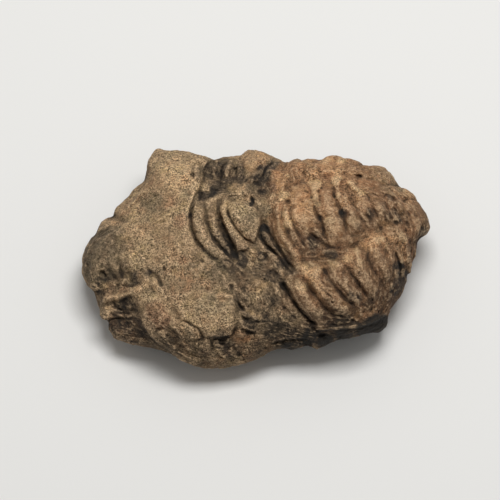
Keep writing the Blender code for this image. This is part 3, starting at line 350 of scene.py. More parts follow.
    "lowCrack4": (0.9, 0.3, 0.35, 1.1, [(-5.0, -15.4), (-5.4, -16.6), (-6.2, -18.0)]),
    "lowCrack5": (0.6, 0.3, 0.3, 0.9, [(5.2, -17.2), (6.4, -18.2), (7.2, -19.4)]),
    "lowCrack6": (0.6, 0.3, 0.3, 0.9, [(-6.0, -5.6), (-5.6, -6.8), (-5.0, -7.6)]),
    "lowCrack7": (0.6, 0.3, 0.3, 0.7, [(3.6, -9.4), (4.2, -12.2), (5.4, -14.8)]),
    "brokenLine1": (1.2, 0.35, 0.4, 1.4, [(-9.2, -18.6), (-8.0, -18.7), (-6.7, -18.7)]),
    "brokenLine2": (0.9, 0.3, 0.3, 1.2, [(-9.1, -19.6), (-8.0, -19.5), (-6.8, -19.1)]),
    "brokenEdge": (1.2, 0.35, 0.35, 1.2, [(-10.6, -18.3), (-10.3, -19.8), (-10.2, -21.6)]),
    "brokenLine3": (0.9, 0.3, 0.35, 1.0, [(-9.6, -21.9), (-8.4, -22.7), (-7.2, -23.3)]),
    "brokenLine4": (0.6, 0.3, 0.3, 0.9, [(-5.6, -19.2), (-5.0, -21.0), (-3.6, -22.4)]),
    "faceLine": (0.7, 0.4, 0.5, 0.8, [(-16.2, -21.8), (-13.2, -22.4), (-10.6, -22.4)]),
    "flatCrack": (1.2, 0.3, 0.4, 1.2, [
        (-17.6, -14.3), (-16.2, -14.5), (-15.2, -15.0), (-14.2, -15.6), (-13.4, -16.0), (-12.8, -17.0), (-12.2, -17.9),
        (-11.0, -18.3),
    ]),
    "flatCrackLow": (0.9, 0.35, 0.35, 1.2, [(-14.0, -18.9), (-12.8, -18.4), (-11.6, -18.3)]),
    "prowGroove": (1.0, 0.4, 0.5, 0.7, [(-19.8, -15.2), (-18.9, -16.6), (-18.2, -17.8), (-17.2, -19.0)]),
    "leftCrack": (1.0, 0.35, 0.4, 1.2, [
        (-25.6, -1.0), (-25.0, -2.2), (-24.1, -3.3), (-23.1, -4.0), (-22.4, -5.0), (-21.9, -6.0), (-21.2, -7.2),
    ]),
    "lumpEdge": (0.9, 0.5, 0.4, 0.5, [(-31.7, 0.4), (-31.3, -1.6), (-31.2, -3.2), (-30.8, -4.6), (-30.2, -5.6)]),
    "lumpGash1": (0.9, 0.35, 0.35, 1.0, [(-36.2, -3.3), (-35.3, -3.1), (-34.8, -3.8), (-34.4, -4.7), (-33.7, -5.5)]),
    "lumpGash2": (0.8, 0.35, 0.35, 0.8, [(-33.1, -3.7), (-32.3, -4.7), (-31.6, -5.5), (-30.9, -6.3)]),
    "lumpGash3": (0.6, 0.35, 0.35, 0.7, [(-36.6, -5.0), (-36.2, -6.2), (-35.4, -7.2)]),
    "lumpFoot": (1.2, 0.35, 0.4, 1.2, [(-31.8, -6.1), (-30.4, -6.3), (-29.4, -6.4), (-28.0, -6.3)]),
    "hollowFoot": (0.8, 0.4, 0.4, 1.0, [(-30.2, -5.7), (-28.8, -5.6), (-27.4, -5.6), (-26.0, -5.9)]),
    "seamFoot": (1.3, 0.6, 0.4, 1.1, [(-31.6, -9.6), (-30.2, -9.3), (-29.0, -8.8), (-27.6, -8.3)]),
    "underLine1": (0.9, 0.3, 0.3, 1.1, [(-33.6, -10.9), (-32.4, -11.4), (-31.2, -11.7), (-29.6, -11.9)]),
    "underLine2": (0.8, 0.3, 0.35, 1.0, [(-32.2, -12.3), (-30.6, -12.5), (-28.4, -12.6)]),
    "underLine3": (0.8, 0.3, 0.3, 1.1, [(-34.0, -12.8), (-32.2, -13.2), (-30.9, -13.7)]),
    "underLine4": (1.0, 0.3, 0.35, 1.0, [(-34.2, -14.1), (-32.0, -13.8), (-29.8, -13.9), (-27.2, -13.8)]),
    "dashFlat1": (0.6, 0.3, 0.3, 1.1, [(-22.2, 8.4), (-20.6, 8.3)]),
    "dashFlat2": (0.5, 0.3, 0.3, 0.8, [(-20.8, -9.7), (-19.2, -9.7)]),
    "dashFlat3": (0.5, 0.3, 0.3, 0.8, [(-22.6, -2.9), (-21.4, -2.5)]),
    "dashFlat4": (0.4, 0.3, 0.3, 0.8, [(-27.4, 1.0), (-26.8, 0.8), (-26.2, 0.1)]),
    "dashFlat5": (0.4, 0.3, 0.3, 0.7, [(-18.9, 8.4), (-17.8, 8.9)]),
}

# holes and deep specks: across, up, radius, depth
pits = [
    (-14.8, 19.1, 0.45, 0.9), (7.1, 13.0, 0.4, 0.9), (23.2, 18.7, 0.6, 1.5), (23.9, 18.6, 0.4, 1.0),
    (23.4, 20.6, 0.4, 0.7), (10.9, 19.2, 0.45, 0.8), (13.0, 18.8, 0.4, 0.7), (15.8, 18.4, 0.4, 0.7),
    (20.0, 19.4, 0.45, 0.7), (22.8, 3.3, 0.4, 0.8), (34.1, 13.3, 0.5, 1.3), (31.6, 13.5, 0.45, 1.0),
    (29.0, 19.7, 0.4, 0.8), (37.9, 7.0, 0.4, 0.8), (30.9, -7.6, 0.45, 0.9), (26.1, -11.7, 0.4, 0.8),
    (27.9, -12.4, 0.45, 0.8), (13.0, -16.1, 0.5, 1.2), (21.8, -14.2, 0.4, 0.8), (15.0, -17.4, 1.0, 0.8),
    (-35.4, -3.3, 0.6, 1.2), (-21.2, -2.4, 0.38, 1.1), (-22.8, -16.4, 0.4, 1.0), (-22.1, -16.3, 0.4, 0.9),
    (-21.5, -14.8, 0.35, 0.9), (-25.4, 12.3, 0.7, 0.6), (-19.2, 9.4, 0.3, 0.7), (-25.4, 6.6, 0.3, 0.6),
    (-5.7, -6.6, 0.5, 1.0), (-0.2, 17.0, 0.7, 0.8), (-9.3, 15.4, 0.45, 0.9), (1.6, 8.2, 0.7, 1.0),
    (32.0, 8.2, 0.5, 0.7), (33.2, 10.0, 0.5, 0.7), (30.6, 9.2, 0.5, 0.6), (33.0, 8.6, 0.4, 0.7),
    (11.6, -20.0, 1.0, 0.9), (-15.8, 14.6, 0.4, 0.5), (-27.6, 16.0, 0.4, 0.7), (8.4, 11.8, 0.45, 0.9),
    (-31.9, -6.4, 0.45, 0.9), (-28.4, -6.4, 0.45, 0.9), (18.0, 12.0, 0.4, 0.6), (-4.0, -22.0, 0.4, 0.7),
    (-6.6, -20.6, 0.5, 0.7), (35.4, 1.6, 0.4, 0.6), (22.0, -8.4, 0.5, 0.8), (23.0, -8.9, 0.4, 0.8),
    (-24.5, -12.9, 0.35, 0.6), (-16.6, -9.2, 0.3, 0.5), (-19.0, 2.0, 0.3, 0.5), (-24.2, 5.4, 0.3, 0.5),
    (30.6, -5.4, 0.4, 0.7), (31.6, -6.8, 0.4, 0.7), (20.3, 10.4, 0.8, 0.5), (26.6, 10.6, 0.9, 0.4),
]

# small holes strewn by chance: across, up, radius of the patch, how many, hole radius, depth
strewn = [
    (-22.0, 4.0, 11.0, 70, 0.26, 0.40), (-34.0, 0.0, 6.0, 18, 0.30, 0.40), (-14.0, -6.0, 8.0, 34, 0.26, 0.35),
    (-18.0, 20.0, 6.0, 22, 0.28, 0.40), (14.0, 12.0, 8.0, 50, 0.28, 0.45), (27.0, 13.0, 7.0, 46, 0.30, 0.55),
    (22.0, -6.0, 9.0, 36, 0.28, 0.50), (12.0, -12.0, 7.0, 22, 0.28, 0.50), (2.0, -8.0, 7.0, 22, 0.28, 0.50),
    (4.0, -1.0, 5.0, 16, 0.30, 0.60), (-7.0, 18.5, 5.0, 10, 0.32, 0.60), (0.0, -17.0, 7.0, 20, 0.30, 0.55),
    (-17.0, -19.0, 7.0, 12, 0.28, 0.45), (-30.0, -12.0, 5.0, 12, 0.30, 0.50), (32.0, 8.0, 5.0, 34, 0.32, 0.60),
    (14.0, 20.0, 8.0, 40, 0.28, 0.45), (17.0, -17.0, 8.0, 16, 0.32, 0.60), (-9.0, 5.0, 6.0, 20, 0.26, 0.35),
]

# name: height, softness, outline. Broad masses, then plates that stand above what is round them
masses = {
    "thoraxMass": (1.5, 1.2, [
        (3.0, 18.5), (3.6, 10.5), (5.0, 4.4), (9.0, -1.8), (6.6, -5.2), (9.6, -11.2), (14.4, -15.8),
        (22.0, -16.4), (28.6, -13.4), (32.6, -5.6), (36.4, 1.0), (37.4, 9.0), (31.4, 16.6), (22.0, 21.0),
        (8.0, 21.4),
    ]),
    "leftShelf": (-1.3, 0.8, [
        (-37.0, -14.0), (-31.0, -13.8), (-26.6, -15.4), (-23.6, -20.0), (-33.0, -20.0),
    ]),
}
plates = {
    "wedge": (1.2, 0.3, [
        (-6.7, 13.3), (-4.4, 12.9), (-2.2, 12.3), (-0.3, 11.6), (0.7, 10.6), (1.0, 8.8), (0.5, 6.8), (0.1, 5.0),
        (-0.6, 3.6), (-1.8, 4.1), (-3.2, 4.9), (-4.8, 6.9), (-6.0, 9.0), (-6.7, 11.2),
    ]),
    "wedgeEdge": (1.2, 0.3, [
        (-7.8, 13.3), (-6.8, 13.5), (-6.8, 10.4), (-5.6, 7.8), (-4.2, 5.8), (-2.9, 4.4), (-1.9, 3.4), (-2.4, 2.0),
        (-4.4, 1.6), (-5.3, 3.0), (-6.7, 6.0), (-7.8, 8.4), (-8.3, 11.0),
    ]),
    "crescentOne": (0.8, 0.35, [
        (-14.6, 12.0), (-12.2, 12.2), (-11.9, 9.4), (-11.2, 7.0), (-10.2, 4.6), (-8.6, 2.6), (-6.2, -0.2),
        (-8.0, -0.4), (-10.0, 0.8), (-12.2, 2.4), (-13.8, 4.4), (-14.8, 7.0), (-15.0, 9.4),
    ]),
    "crescentTwo": (0.4, 0.35, [
        (-11.6, 12.0), (-9.2, 12.2), (-9.0, 9.0), (-8.4, 6.4), (-7.2, 4.0), (-5.6, 1.4), (-6.4, 0.9), (-8.2, 3.0),
        (-9.8, 4.8), (-10.8, 7.2),
    ]),
    "greyFlat": (0.9, 0.8, [
        (-20.0, -8.0), (-13.0, -7.4), (-5.2, -8.4), (-4.9, -12.0), (-5.2, -15.2), (-6.4, -17.4), (-11.6, -17.9),
        (-14.0, -15.8), (-17.0, -14.2),
    ]),
    "prowFlat": (0.7, 0.5, [
        (-19.6, -13.4), (-17.2, -14.6), (-14.8, -15.4), (-13.0, -17.0), (-12.8, -18.4), (-15.0, -18.6),
        (-17.2, -18.2), (-18.6, -16.0),
    ]),
    "facePlate": (0.5, 0.4, [(-14.0, -19.1), (-10.6, -18.6), (-10.5, -21.6), (-13.6, -21.8)]),
    "knob": (0.4, 0.5, [(-3.0, 24.8), (-2.6, 21.6), (-1.4, 20.6), (0.4, 21.0), (2.2, 22.6), (2.6, 24.8)]),
}

# name: height, reach, points. Steps whose high side lies to the left of the line
ledges = {
    "plateauEdge": (1.1, 3.0, [
        (-12.2, 1.6), (-13.8, 3.2), (-15.2, 6.2), (-15.6, 9.4), (-15.0, 12.6), (-13.6, 15.6), (-12.4, 18.6),
        (-11.2, 22.2),
    ]),
    "flatRim": (1.3, 3.0, [
        (-12.2, -18.1), (-9.0, -17.8), (-6.2, -17.5), (-5.1, -15.6), (-5.0, -14.2),
    ]),
    "wedgeSide": (0.9, 2.2, [(-0.5, 3.6), (0.4, 6.0), (0.9, 8.2), (1.0, 9.8)]),
    "ringOneSide": (0.6, 1.6, [(3.9, 9.6), (3.5, 8.4), (4.0, 5.6), (5.1, 2.8), (7.2, -0.6)]),
    "ribSide": (0.9, 1.8, [(6.2, -4.8), (7.6, -7.6), (9.8, -11.0), (13.4, -14.4)]),
    "fossilEdge": (0.7, 2.4, [(12.4, -16.4), (18.0, -16.2), (24.2, -15.5), (28.0, -14.2), (30.2, -12.8)]),
    "frontShelf": (1.0, 3.0, [(2.6, -19.6), (7.0, -18.4), (12.0, -18.3)]),
    "prowUnder": (1.0, 3.0, [(-26.9, -13.8), (-25.6, -16.0), (-24.0, -18.2), (-21.6, -20.2)]),
    "lumpUnder": (1.0, 2.6, [(-37.4, -7.2), (-34.8, -7.6)]),
}

# thin layers and striations: across, up, radius, angle they run at, spacing, depth
streaks = [
    (-20.0, -20.0, 5.5, -36, 0.8, 0.28), (-15.5, -22.0, 4.5, -32, 0.8, 0.22), (-23.4, -17.0, 3.0, -42, 0.7, 0.2),
    (-30.5, -12.6, 4.2, -4, 0.7, 0.25), (-30.0, -17.0, 4.5, -14, 0.6, 0.12), (-9.0, 6.5, 3.0, -68, 0.5, 0.2),
    (-6.5, 2.4, 2.6, -56, 0.5, 0.2), (-12.8, 6.6, 2.6, -70, 0.7, 0.12), (-3.0, 9.0, 3.4, -54, 0.7, 0.15),
    (5.3, 10.0, 2.6, -88, 0.6, 0.2), (7.0, 3.6, 3.0, -60, 0.6, 0.3), (3.2, 2.6, 3.0, -54, 0.6, 0.35),
    (5.4, -2.2, 3.0, -50, 0.7, 0.25), (-8.2, 19.6, 3.6, -82, 0.7, 0.18), (-4.6, 20.0, 2.6, -80, 0.7, 0.15),
    (5.2, 19.8, 3.0, -74, 0.7, 0.25), (9.6, 19.8, 3.2, -78, 0.8, 0.25), (12.0, -9.8, 3.6, -52, 0.6, 0.3),
    (17.0, -8.8, 4.2, -50, 0.6, 0.3), (22.0, -6.6, 4.2, -54, 0.6, 0.3), (27.0, -3.6, 4.4, -62, 0.6, 0.3),
    (31.0, -2.6, 3.0, -70, 0.6, 0.25), (10.2, 10.4, 3.6, -72, 0.9, 0.12), (17.6, 14.0, 3.0, -78, 0.8, 0.15),
    (22.8, 13.0, 3.0, -66, 0.8, 0.17), (27.0, 17.6, 5.0, -18, 0.7, 0.2), (33.0, 15.0, 3.6, -40, 0.7, 0.2),
    (0.4, -16.6, 4.4, -12, 0.7, 0.22), (5.0, -18.6, 4.0, -20, 0.7, 0.2), (18.0, -18.0, 5.0, 8, 0.7, 0.2),
    (26.0, -16.4, 4.5, 22, 0.7, 0.3), (-1.4, -13.4, 3.0, -20, 0.7, 0.15), (-7.6, -19.2, 2.6, 4, 0.6, 0.4),
    (-5.4, -21.6, 3.6, -30, 0.8, 0.3), (1.6, -9.6, 4.0, -56, 0.8, 0.12), (-34.6, -3.8, 3.6, -40, 0.9, 0.15),
    (-29.0, -5.4, 2.6, -6, 0.7, 0.25), (-33.8, 7.4, 3.0, 36, 0.8, 0.15), (-25.6, -8.0, 3.0, 24, 0.7, 0.2),
    (12.6, 3.6, 2.4, -40, 0.6, 0.3), (17.0, 0.6, 3.4, -8, 0.6, 0.3), (24.0, 4.0, 3.0, 24, 0.7, 0.25),
    (22.0, -12.4, 4.4, -30, 0.7, 0.25), (26.8, -9.8, 3.6, -48, 0.7, 0.3), (29.0, -11.6, 2.6, 40, 0.7, 0.25),
]

# gaps between the far lobe's ribs, fanned over the far edge and down the back, and layers round the underside
farRibs = {"count": 8, "firstAngle": 72, "lastAngle": 20, "depth": 1.4, "width": 0.8, "dirtAndShade": 0.45}
backLayers = {
    "high": (0.9, 1.1, 118, 168, 112),
    "low": (0.8, 1.2, 95, 175, 124),
    "tail": (0.9, 1.0, -30, 40, 116),
    "front": (0.8, 1.0, 215, 330, 110),
}


def ease(x):
    x = np.clip(x, 0, 1)
    return x * x * (3 - 2 * x)


def ringAverage(values, window):
    half = window // 2
    padded = np.concatenate([values[-half:], values, values[:half]])
    return np.convolve(padded, np.ones(window) / window, "valid")


def outlineTable():
    points = np.array(lump["outline"])
    turns = np.arctan2(points[:, 1], points[:, 0])
    order = np.argsort(turns)
    reach = np.hypot(points[:, 0], points[:, 1])
    even = np.linspace(-math.pi, math.pi, 720, endpoint=False)
    sharp = ringAverage(np.interp(even, turns[order], reach[order], period=2 * math.pi), 3)
    return even, sharp, ringAverage(sharp, 41)


outlineTurns, outlineSharp, outlineBroad = outlineTable()


def outlineRadius(angle, detail):
    near = np.interp(angle, outlineTurns, outlineSharp, period=2 * math.pi)
    wide = np.interp(angle, outlineTurns, outlineBroad, period=2 * math.pi)
    return wide + (near - wide) * detail


def polar(angle, tilt):
    angle, tilt = math.radians(angle), math.radians(tilt)
    return np.array([math.sin(tilt) * math.cos(angle), math.sin(tilt) * math.sin(angle), math.cos(tilt)])


def skinAt(directions):
    share = np.clip(np.hypot(directions[:, 0], directions[:, 1]), 0, 1)
    angle = np.arctan2(directions[:, 1], directions[:, 0])
    radius = outlineRadius(angle, share**4)
    across = radius * share * np.cos(angle)
    up = radius * share * np.sin(angle)
    lift = (1 - share ** lump["fullness"]) ** (1 / lump["fullness"])
    depth = np.where(directions[:, 2] > 0, lump["topDepth"], -lump["underDepth"]) * lift
    return np.stack([across, up, depth + lump["rimSlant"] * up], axis=1)


def sightAxes():
    sine, cosine = math.sin(sightRise), math.cos(sightRise)
    return np.array([(1, 0, 0), (0, sine, cosine), (0, -cosine, sine)])


def smoothPath(controls, perSpan=6):
    rows = [2 * controls[0] - controls[1], *controls, 2 * controls[-1] - controls[-2]]
    path = []
    for a, b, c, d in zip(rows, rows[1:], rows[2:], rows[3:]):
        for t in np.linspace(0, 1, perSpan, endpoint=False):
            bend = (2 * a - 5 * b + 4 * c - d) * t**2 + (3 * b - a - 3 * c + d) * t**3
            path.append(0.5 * (2 * b + (c - a) * t + bend))
    path.append(rows[-2])
    return np.array(path)


def skinPath(turns):
    path = smoothPath(turns)
    return skinAt(path / np.linalg.norm(path, axis=1, keepdims=True))


def seenFrom(points, facing):
    # finds the surface behind a place drawn on the sight plane
    seen = np.nonzero(facing)[0]
    tree = kdtree.KDTree(len(seen))
    for k in seen:
        tree.insert((points[k, 0], points[k, 1], 0), k)
    tree.balance()

    def find(across, up):
        return np.array([across, up, points[tree.find((across, up, 0))[1], 2]])

    return find, tree


def alongPath(points, normals, path, reach):
    middle = path.mean(axis=0)
    span = np.linalg.norm(path - middle, axis=1).max() + reach
    which = np.nonzero(np.linalg.norm(points - middle, axis=1) < span)[0]
    best = np.full(len(which), np.inf)
    side = np.ones(len(which))
    share = np.zeros(len(which))
    steps = np.linalg.norm(np.diff(path, axis=0), axis=1)
    run = np.concatenate([[0], np.cumsum(steps)])
    for k, (start, end) in enumerate(zip(path, path[1:])):
        line = end - start
        away = points[which] - start
        t = np.clip(away @ line / (line @ line), 0, 1)
        offset = away - t[:, None] * line
        distance = np.linalg.norm(offset, axis=1)
        closer = distance < best
        left = np.einsum("ij,ij->i", np.cross(normals[which], line), offset)
        best = np.where(closer, distance, best)
        side = np.where(closer, np.sign(left), side)
        share = np.where(closer, (run[k] + t * steps[k]) / run[-1], share)
    fade = min(0.45, 2.2 / run[-1])
    return which, best * side, ease(share / fade) * ease((1 - share) / fade)


def insideDistance(across, up, outline):
    best = np.full(len(across), np.inf)
    inside = np.zeros(len(across), bool)
    for (x0, y0), (x1, y1) in zip(outline, outline[1:] + outline[:1]):
        run, rise = x1 - x0, y1 - y0
        t = np.clip(((across - x0) * run + (up - y0) * rise) / (run**2 + rise**2), 0, 1)
        best = np.minimum(best, np.hypot(across - x0 - t * run, up - y0 - t * rise))
        if rise:
            crossing = x0 + (up - y0) / rise * run
            inside ^= ((y0 > up) != (y1 > up)) & (across < crossing)
    return np.where(inside, best, -best)


def linePath(find, line):
    return np.array([find(*place) for place in smoothPath(np.array(line))])


def streakDepth(points, across, up, radius, angle, spacing):
    turn = math.radians(angle)
    x = points[:, 0] - across
    y = points[:, 1] - up
    weight = ease(1.3 - np.hypot(x, y) / radius)
    which = np.nonzero(weight)[0]
    over = (y[which] * math.cos(turn) - x[which] * math.sin(turn)) / spacing
    along = (x[which] * math.cos(turn) + y[which] * math.sin(turn)) / spacing / 6
    lines = np.array([abs(noise.noise(Vector((a, b, across)))) for a, b in zip(over, along)])
    depth = np.zeros(len(points))
    depth[which] = weight[which] * (0.5 - np.clip(lines * 2.2, 0, 1))
    return depth


def strayFrom(points, reach):
    return points + reach * np.array([noise.noise_vector(Vector(p) / 2.6) for p in points])


def pressPlates(points, table):
    change = np.zeros(len(points))
    for height, softness, outline in table.values():
        inside = insideDistance(points[:, 0], points[:, 1], outline)
        change += height * ease(inside / softness / 2 + 0.5)
    return change


def pressSwells(points, find, table):
    change = np.zeros(len(points))
    for across, up, radius, height in table.values():
        distance = np.linalg.norm(points - find(across, up), axis=1)
        change += height * np.clip(1 - (distance / radius / 1.3) ** 2, 0, None) ** 2
    return change


def pressRidges(points, normals, find, table):
    change = np.zeros(len(points))
    for height, width, line in table.values():
        which, distance, fade = alongPath(points, normals, linePath(find, line), 3 * width)
        change[which] += height * np.exp(-((distance / width) ** 2)) * fade
    return change


def strewnHoles():
    chance = np.random.default_rng(7)
    for across, up, reach, count, radius, depth in strewn:
        for hole in range(count):
            turn = chance.uniform(0, 2 * math.pi)
            away = reach * math.sqrt(chance.uniform(0, 1))
            size = radius * chance.uniform(0.5, 1.3)
            yield across + away * math.cos(turn), up + away * math.sin(turn), size, depth * chance.uniform(0.5, 1.3)


def broadForms(points, normals, facing):
    find, tree = seenFrom(points, facing)
    strayed = strayFrom(points, lump["broadWobble"])
    change = pressPlates(strayed, masses) * facing + pressSwells(points, find, swells)
    return change + pressRidges(strayed, normals, find, lobes)


def fineForms(points, normals, facing):
    # how far each point moves out, and how dark each point is painted: partly silt settled in cracks, pits and at the
    # feet of steps, partly painted shade there
    find, tree = seenFrom(points, facing)
    strayed = strayFrom(points, lump["fineWobble"])
    patchy = 0.9 + 0.35 * np.array([noise.noise(Vector(p) / 1.9) for p in points])
    change = pressPlates(strayed, plates) * facing + pressSwells(strayed, find, knobs)
    change += lump["ridgeGain"] * pressRidges(strayed, normals, find, ridges)
    dirtAndShade = np.zeros(len(points))
    cracks = [(depth, left, right, soilAndShade, linePath(find, line)) for depth, left, right, soilAndShade, line in grooves.values()]
    for k in range(farRibs["count"]):
        share = k / (farRibs["count"] - 1)
        angle = farRibs["firstAngle"] + (farRibs["lastAngle"] - farRibs["firstAngle"]) * share
        turns = [polar(angle + 3, 57 - 4 * share), polar(angle + 1, 78), polar(angle - 3, 100), polar(angle - 8, 124)]
        width = farRibs["width"]
        cracks.append((farRibs["depth"], width, width, farRibs["dirtAndShade"], skinPath(turns)))
    for depth, width, first, last, tilt in backLayers.values():
        turns = [polar(angle, tilt + 3 * math.sin(angle * 0.13)) for angle in np.linspace(first, last, 8)]
        cracks.append((depth, width, width, 0.6, skinPath(turns)))
    for depth, left, right, soilAndShade, path in cracks:
        which, distance, fade = alongPath(strayed, normals, path, 4 * max(left, right))
        width = lump["crackWidth"] * np.where(distance > 0, left, right)
        fall = np.exp(-(np.hypot(distance, 0.1) - 0.1) / width) * fade
        change[which] -= depth * fall * patchy[which]
        dirtAndShade[which] = np.maximum(dirtAndShade[which], soilAndShade * np.exp(-((distance / width) ** 2)) * fade)
    for across, up, radius, depth in [*pits, *strewnHoles()]:
        for spot, k, distance in tree.find_range((across, up, 0), 2.2 * radius):
            ragged = 1 + 0.5 * noise.noise(Vector(points[k]) / 0.5)
            near = math.exp(-((distance * ragged / radius) ** 2))
            change[k] -= depth * near
            dirtAndShade[k] = max(dirtAndShade[k], min(1.1, 1.2 * depth) * near)
    for across, up, radius, angle, spacing, depth in streaks:
        change -= depth * streakDepth(strayed, across, up, radius, angle, spacing) * facing
    for height, reach, line in ledges.values():
        which, distance, fade = alongPath(strayed, normals, linePath(find, line), 3 * reach)
        rise = ease(distance / 0.5 + 0.5) * np.exp(-np.clip(distance, 0, None) / reach)
        foot = np.exp(-((distance + 0.5) ** 2) / 0.3)
        change[which] += height * (rise - 0.3 * foot) * fade
        # painted shade at the foot of each step
        dirtAndShade[which] = np.maximum(dirtAndShade[which], 0.8 * foot * fade)
    return change, dirtAndShade


def lineField():
    # the way that the strokes run near each square millimetre, held as a doubled angle so that both ways agree
    tops = [line for height, width, line in ridges.values()]
    gaps = [line for depth, left, right, soilAndShade, line in grooves.values()]
    across, up = np.meshgrid(np.arange(-45, 46), np.arange(-30, 31))
    field = np.zeros((*across.shape, 2))
    for line in [*tops, *gaps]:
        path = smoothPath(np.array(line), 3)
        for start, end in zip(path, path[1:]):
            middle = (start + end) / 2
            turn = 2 * math.atan2(end[1] - start[1], end[0] - start[0])
            weight = np.exp(-((across - middle[0]) ** 2 + (up - middle[1]) ** 2) / 10)
            field += weight[:, :, None] * np.array((math.cos(turn), math.sin(turn)))
    return field


def combLines(mesh, points):
    # random grains drawn out along the strokes
    field = lineField()
    column = np.clip(np.rint(points[:, 0]).astype(int) + 45, 0, 90)
    row = np.clip(np.rint(points[:, 1]).astype(int) + 30, 0, 60)
    here = field[row, column]
    strength = np.linalg.norm(here, axis=1)
    turn = np.arctan2(here[:, 1], here[:, 0]) / 2
    ends = readEdges(mesh)
    step = points[ends[:, 1]] - points[ends[:, 0]]
    angle = turn[ends[:, 0]]
    along = np.abs(step[:, 0] * np.cos(angle) + step[:, 1] * np.sin(angle)) / np.linalg.norm(step, axis=1)
    weight = along**8 + 0.01
    grains = np.random.default_rng(3).normal(size=len(points))
    total = np.bincount(ends[:, 0], weight, len(points)) + np.bincount(ends[:, 1], weight, len(points))
    for step in range(lump["combing"]):
        drawn = np.bincount(ends[:, 0], weight * grains[ends[:, 1]], len(points))
        drawn += np.bincount(ends[:, 1], weight * grains[ends[:, 0]], len(points))
        grains = 0.4 * grains + 0.6 * drawn / total
    return grains / grains.std() * ease(strength / 3)


def roughAt(place):
    seed = Vector(lump["roughSeed"])
    broad = noise.fractal(place / 11 + seed, 0.9, 2.1, 3)
    small = noise.fractal(place / 3.6 - seed, 0.8, 2.0, 2)
    return lump["broadRough"] * broad + lump["smallRough"] * small


def readEdges(mesh):
    ends = np.empty(len(mesh.edges) * 2, dtype=np.int32)
    mesh.edges.foreach_get("vertices", ends)
    return ends.reshape(-1, 2)


def readPoints(mesh):
    flat = np.empty(len(mesh.vertices) * 3)
    mesh.vertices.foreach_get("co", flat)
    return flat.reshape(-1, 3)


def readNormals(mesh):
    flat = np.empty(len(mesh.vertices) * 3)
    mesh.vertices.foreach_get("normal", flat)
    return flat.reshape(-1, 3)


def writePoints(mesh, points):
    mesh.vertices.foreach_set("co", np.ascontiguousarray(points, dtype=np.float32).ravel())
    mesh.update()


def writeValue(mesh, name, values):
    layer = mesh.attributes.get(name) or mesh.attributes.new(name, "FLOAT", "POINT")
    layer.data.foreach_set("value", np.ascontiguousarray(values, dtype=np.float32))


def readValue(mesh, name):
    values = np.empty(len(mesh.vertices), dtype=np.float32)
    mesh.attributes[name].data.foreach_get("value", values)
    return values


def selectFaces(mesh, chosen):
    mesh.vertices.foreach_set("select", np.zeros(len(mesh.vertices), bool))
    mesh.edges.foreach_set("select", np.zeros(len(mesh.edges), bool))
    mesh.polygons.foreach_set("select", chosen)


def startBall():
    bpy.ops.object.select_all(action="DESELECT")
    bpy.ops.mesh.primitive_ico_sphere_add(subdivisions=lump["ballLevel"], radius=1, location=(0, 0, 0))
    stone = bpy.context.object
    stone.name = "fossil_stone"
    mesh = stone.data
    centres = np.empty(len(mesh.polygons) * 3)
    mesh.polygons.foreach_get("center", centres)
    facing = centres.reshape(-1, 3)[:, 2] > lump["fineFrom"]
    selectFaces(mesh, facing)
    bpy.ops.object.mode_set(mode="EDIT")
    bpy.ops.mesh.select_mode(type="FACE")
    bpy.ops.mesh.subdivide(number_cuts=1, smoothness=0)
    bpy.ops.object.mode_set(mode="OBJECT")
    return stone


def sightLean(normals):
    lean = ease((normals[:, 2] - 0.2) / 0.35)
    outward = normals * (1 - lean)[:, None] + np.array((0, 0, 1)) * lean[:, None]
    return lean, outward / np.linalg.norm(outward, axis=1, keepdims=True)


def carve(stone):
    mesh = stone.data
    directions = readPoints(mesh)
    directions /= np.linalg.norm(directions, axis=1, keepdims=True)
    points = skinAt(directions)
    writePoints(mesh, points)
    facing = directions[:, 2] > 0
    upper = ease(((points @ sightAxes())[:, 2] + lump["baseDrop"]) / 4)
    normals = readNormals(mesh)
    # seen from the camera the forms stay where they are drawn, because they are pressed along its sight
    lean, outward = sightLean(normals)
    points = points + outward * (broadForms(points, normals, facing) * upper * (0.3 + 0.7 * lean))[:, None]
    writePoints(mesh, points)
    normals = readNormals(mesh)
    lean, outward = sightLean(normals)
    change, dirtAndShade = fineForms(points, normals, facing)
    lines = combLines(mesh, points) * facing
    change -= lump["lineDepth"] * np.clip(lines, -2, 2)
    rough = np.array([roughAt(Vector(p)) for p in points])
    change = np.clip(change, -3, 1.6) * upper * (0.5 + 0.5 * lean)
    points = points + outward * (change + rough * (0.4 + 0.6 * upper))[:, None]
    writePoints(mesh, points)
    writeValue(mesh, "dirtAndShade", dirtAndShade * upper)
    writeValue(mesh, "lines", lines * upper)
    writeValue(mesh, "across", points[:, 0])
    writeValue(mesh, "up", points[:, 1])


# Displace modifiers, in millimetres: cloud size, how far in and out, and where
grit = {
    "pebbly": (2.2, 0.4, "CLOUDS"),
    "sandy": (0.7, 0.3, "CLOUDS"),
}


def roughen(stone):
    for name, (size, strength, kind) in grit.items():
        texture = bpy.data.textures.new(name, kind)
        texture.noise_scale = size
        texture.noise_depth = 2
        bpy.ops.object.modifier_add(type="DISPLACE")
        modifier = stone.modifiers[-1]
        modifier.texture = texture
        modifier.texture_coords = "LOCAL"
        modifier.strength = strength
        modifier.mid_level = 0.5
        bpy.ops.object.modifier_apply(modifier=modifier.name)


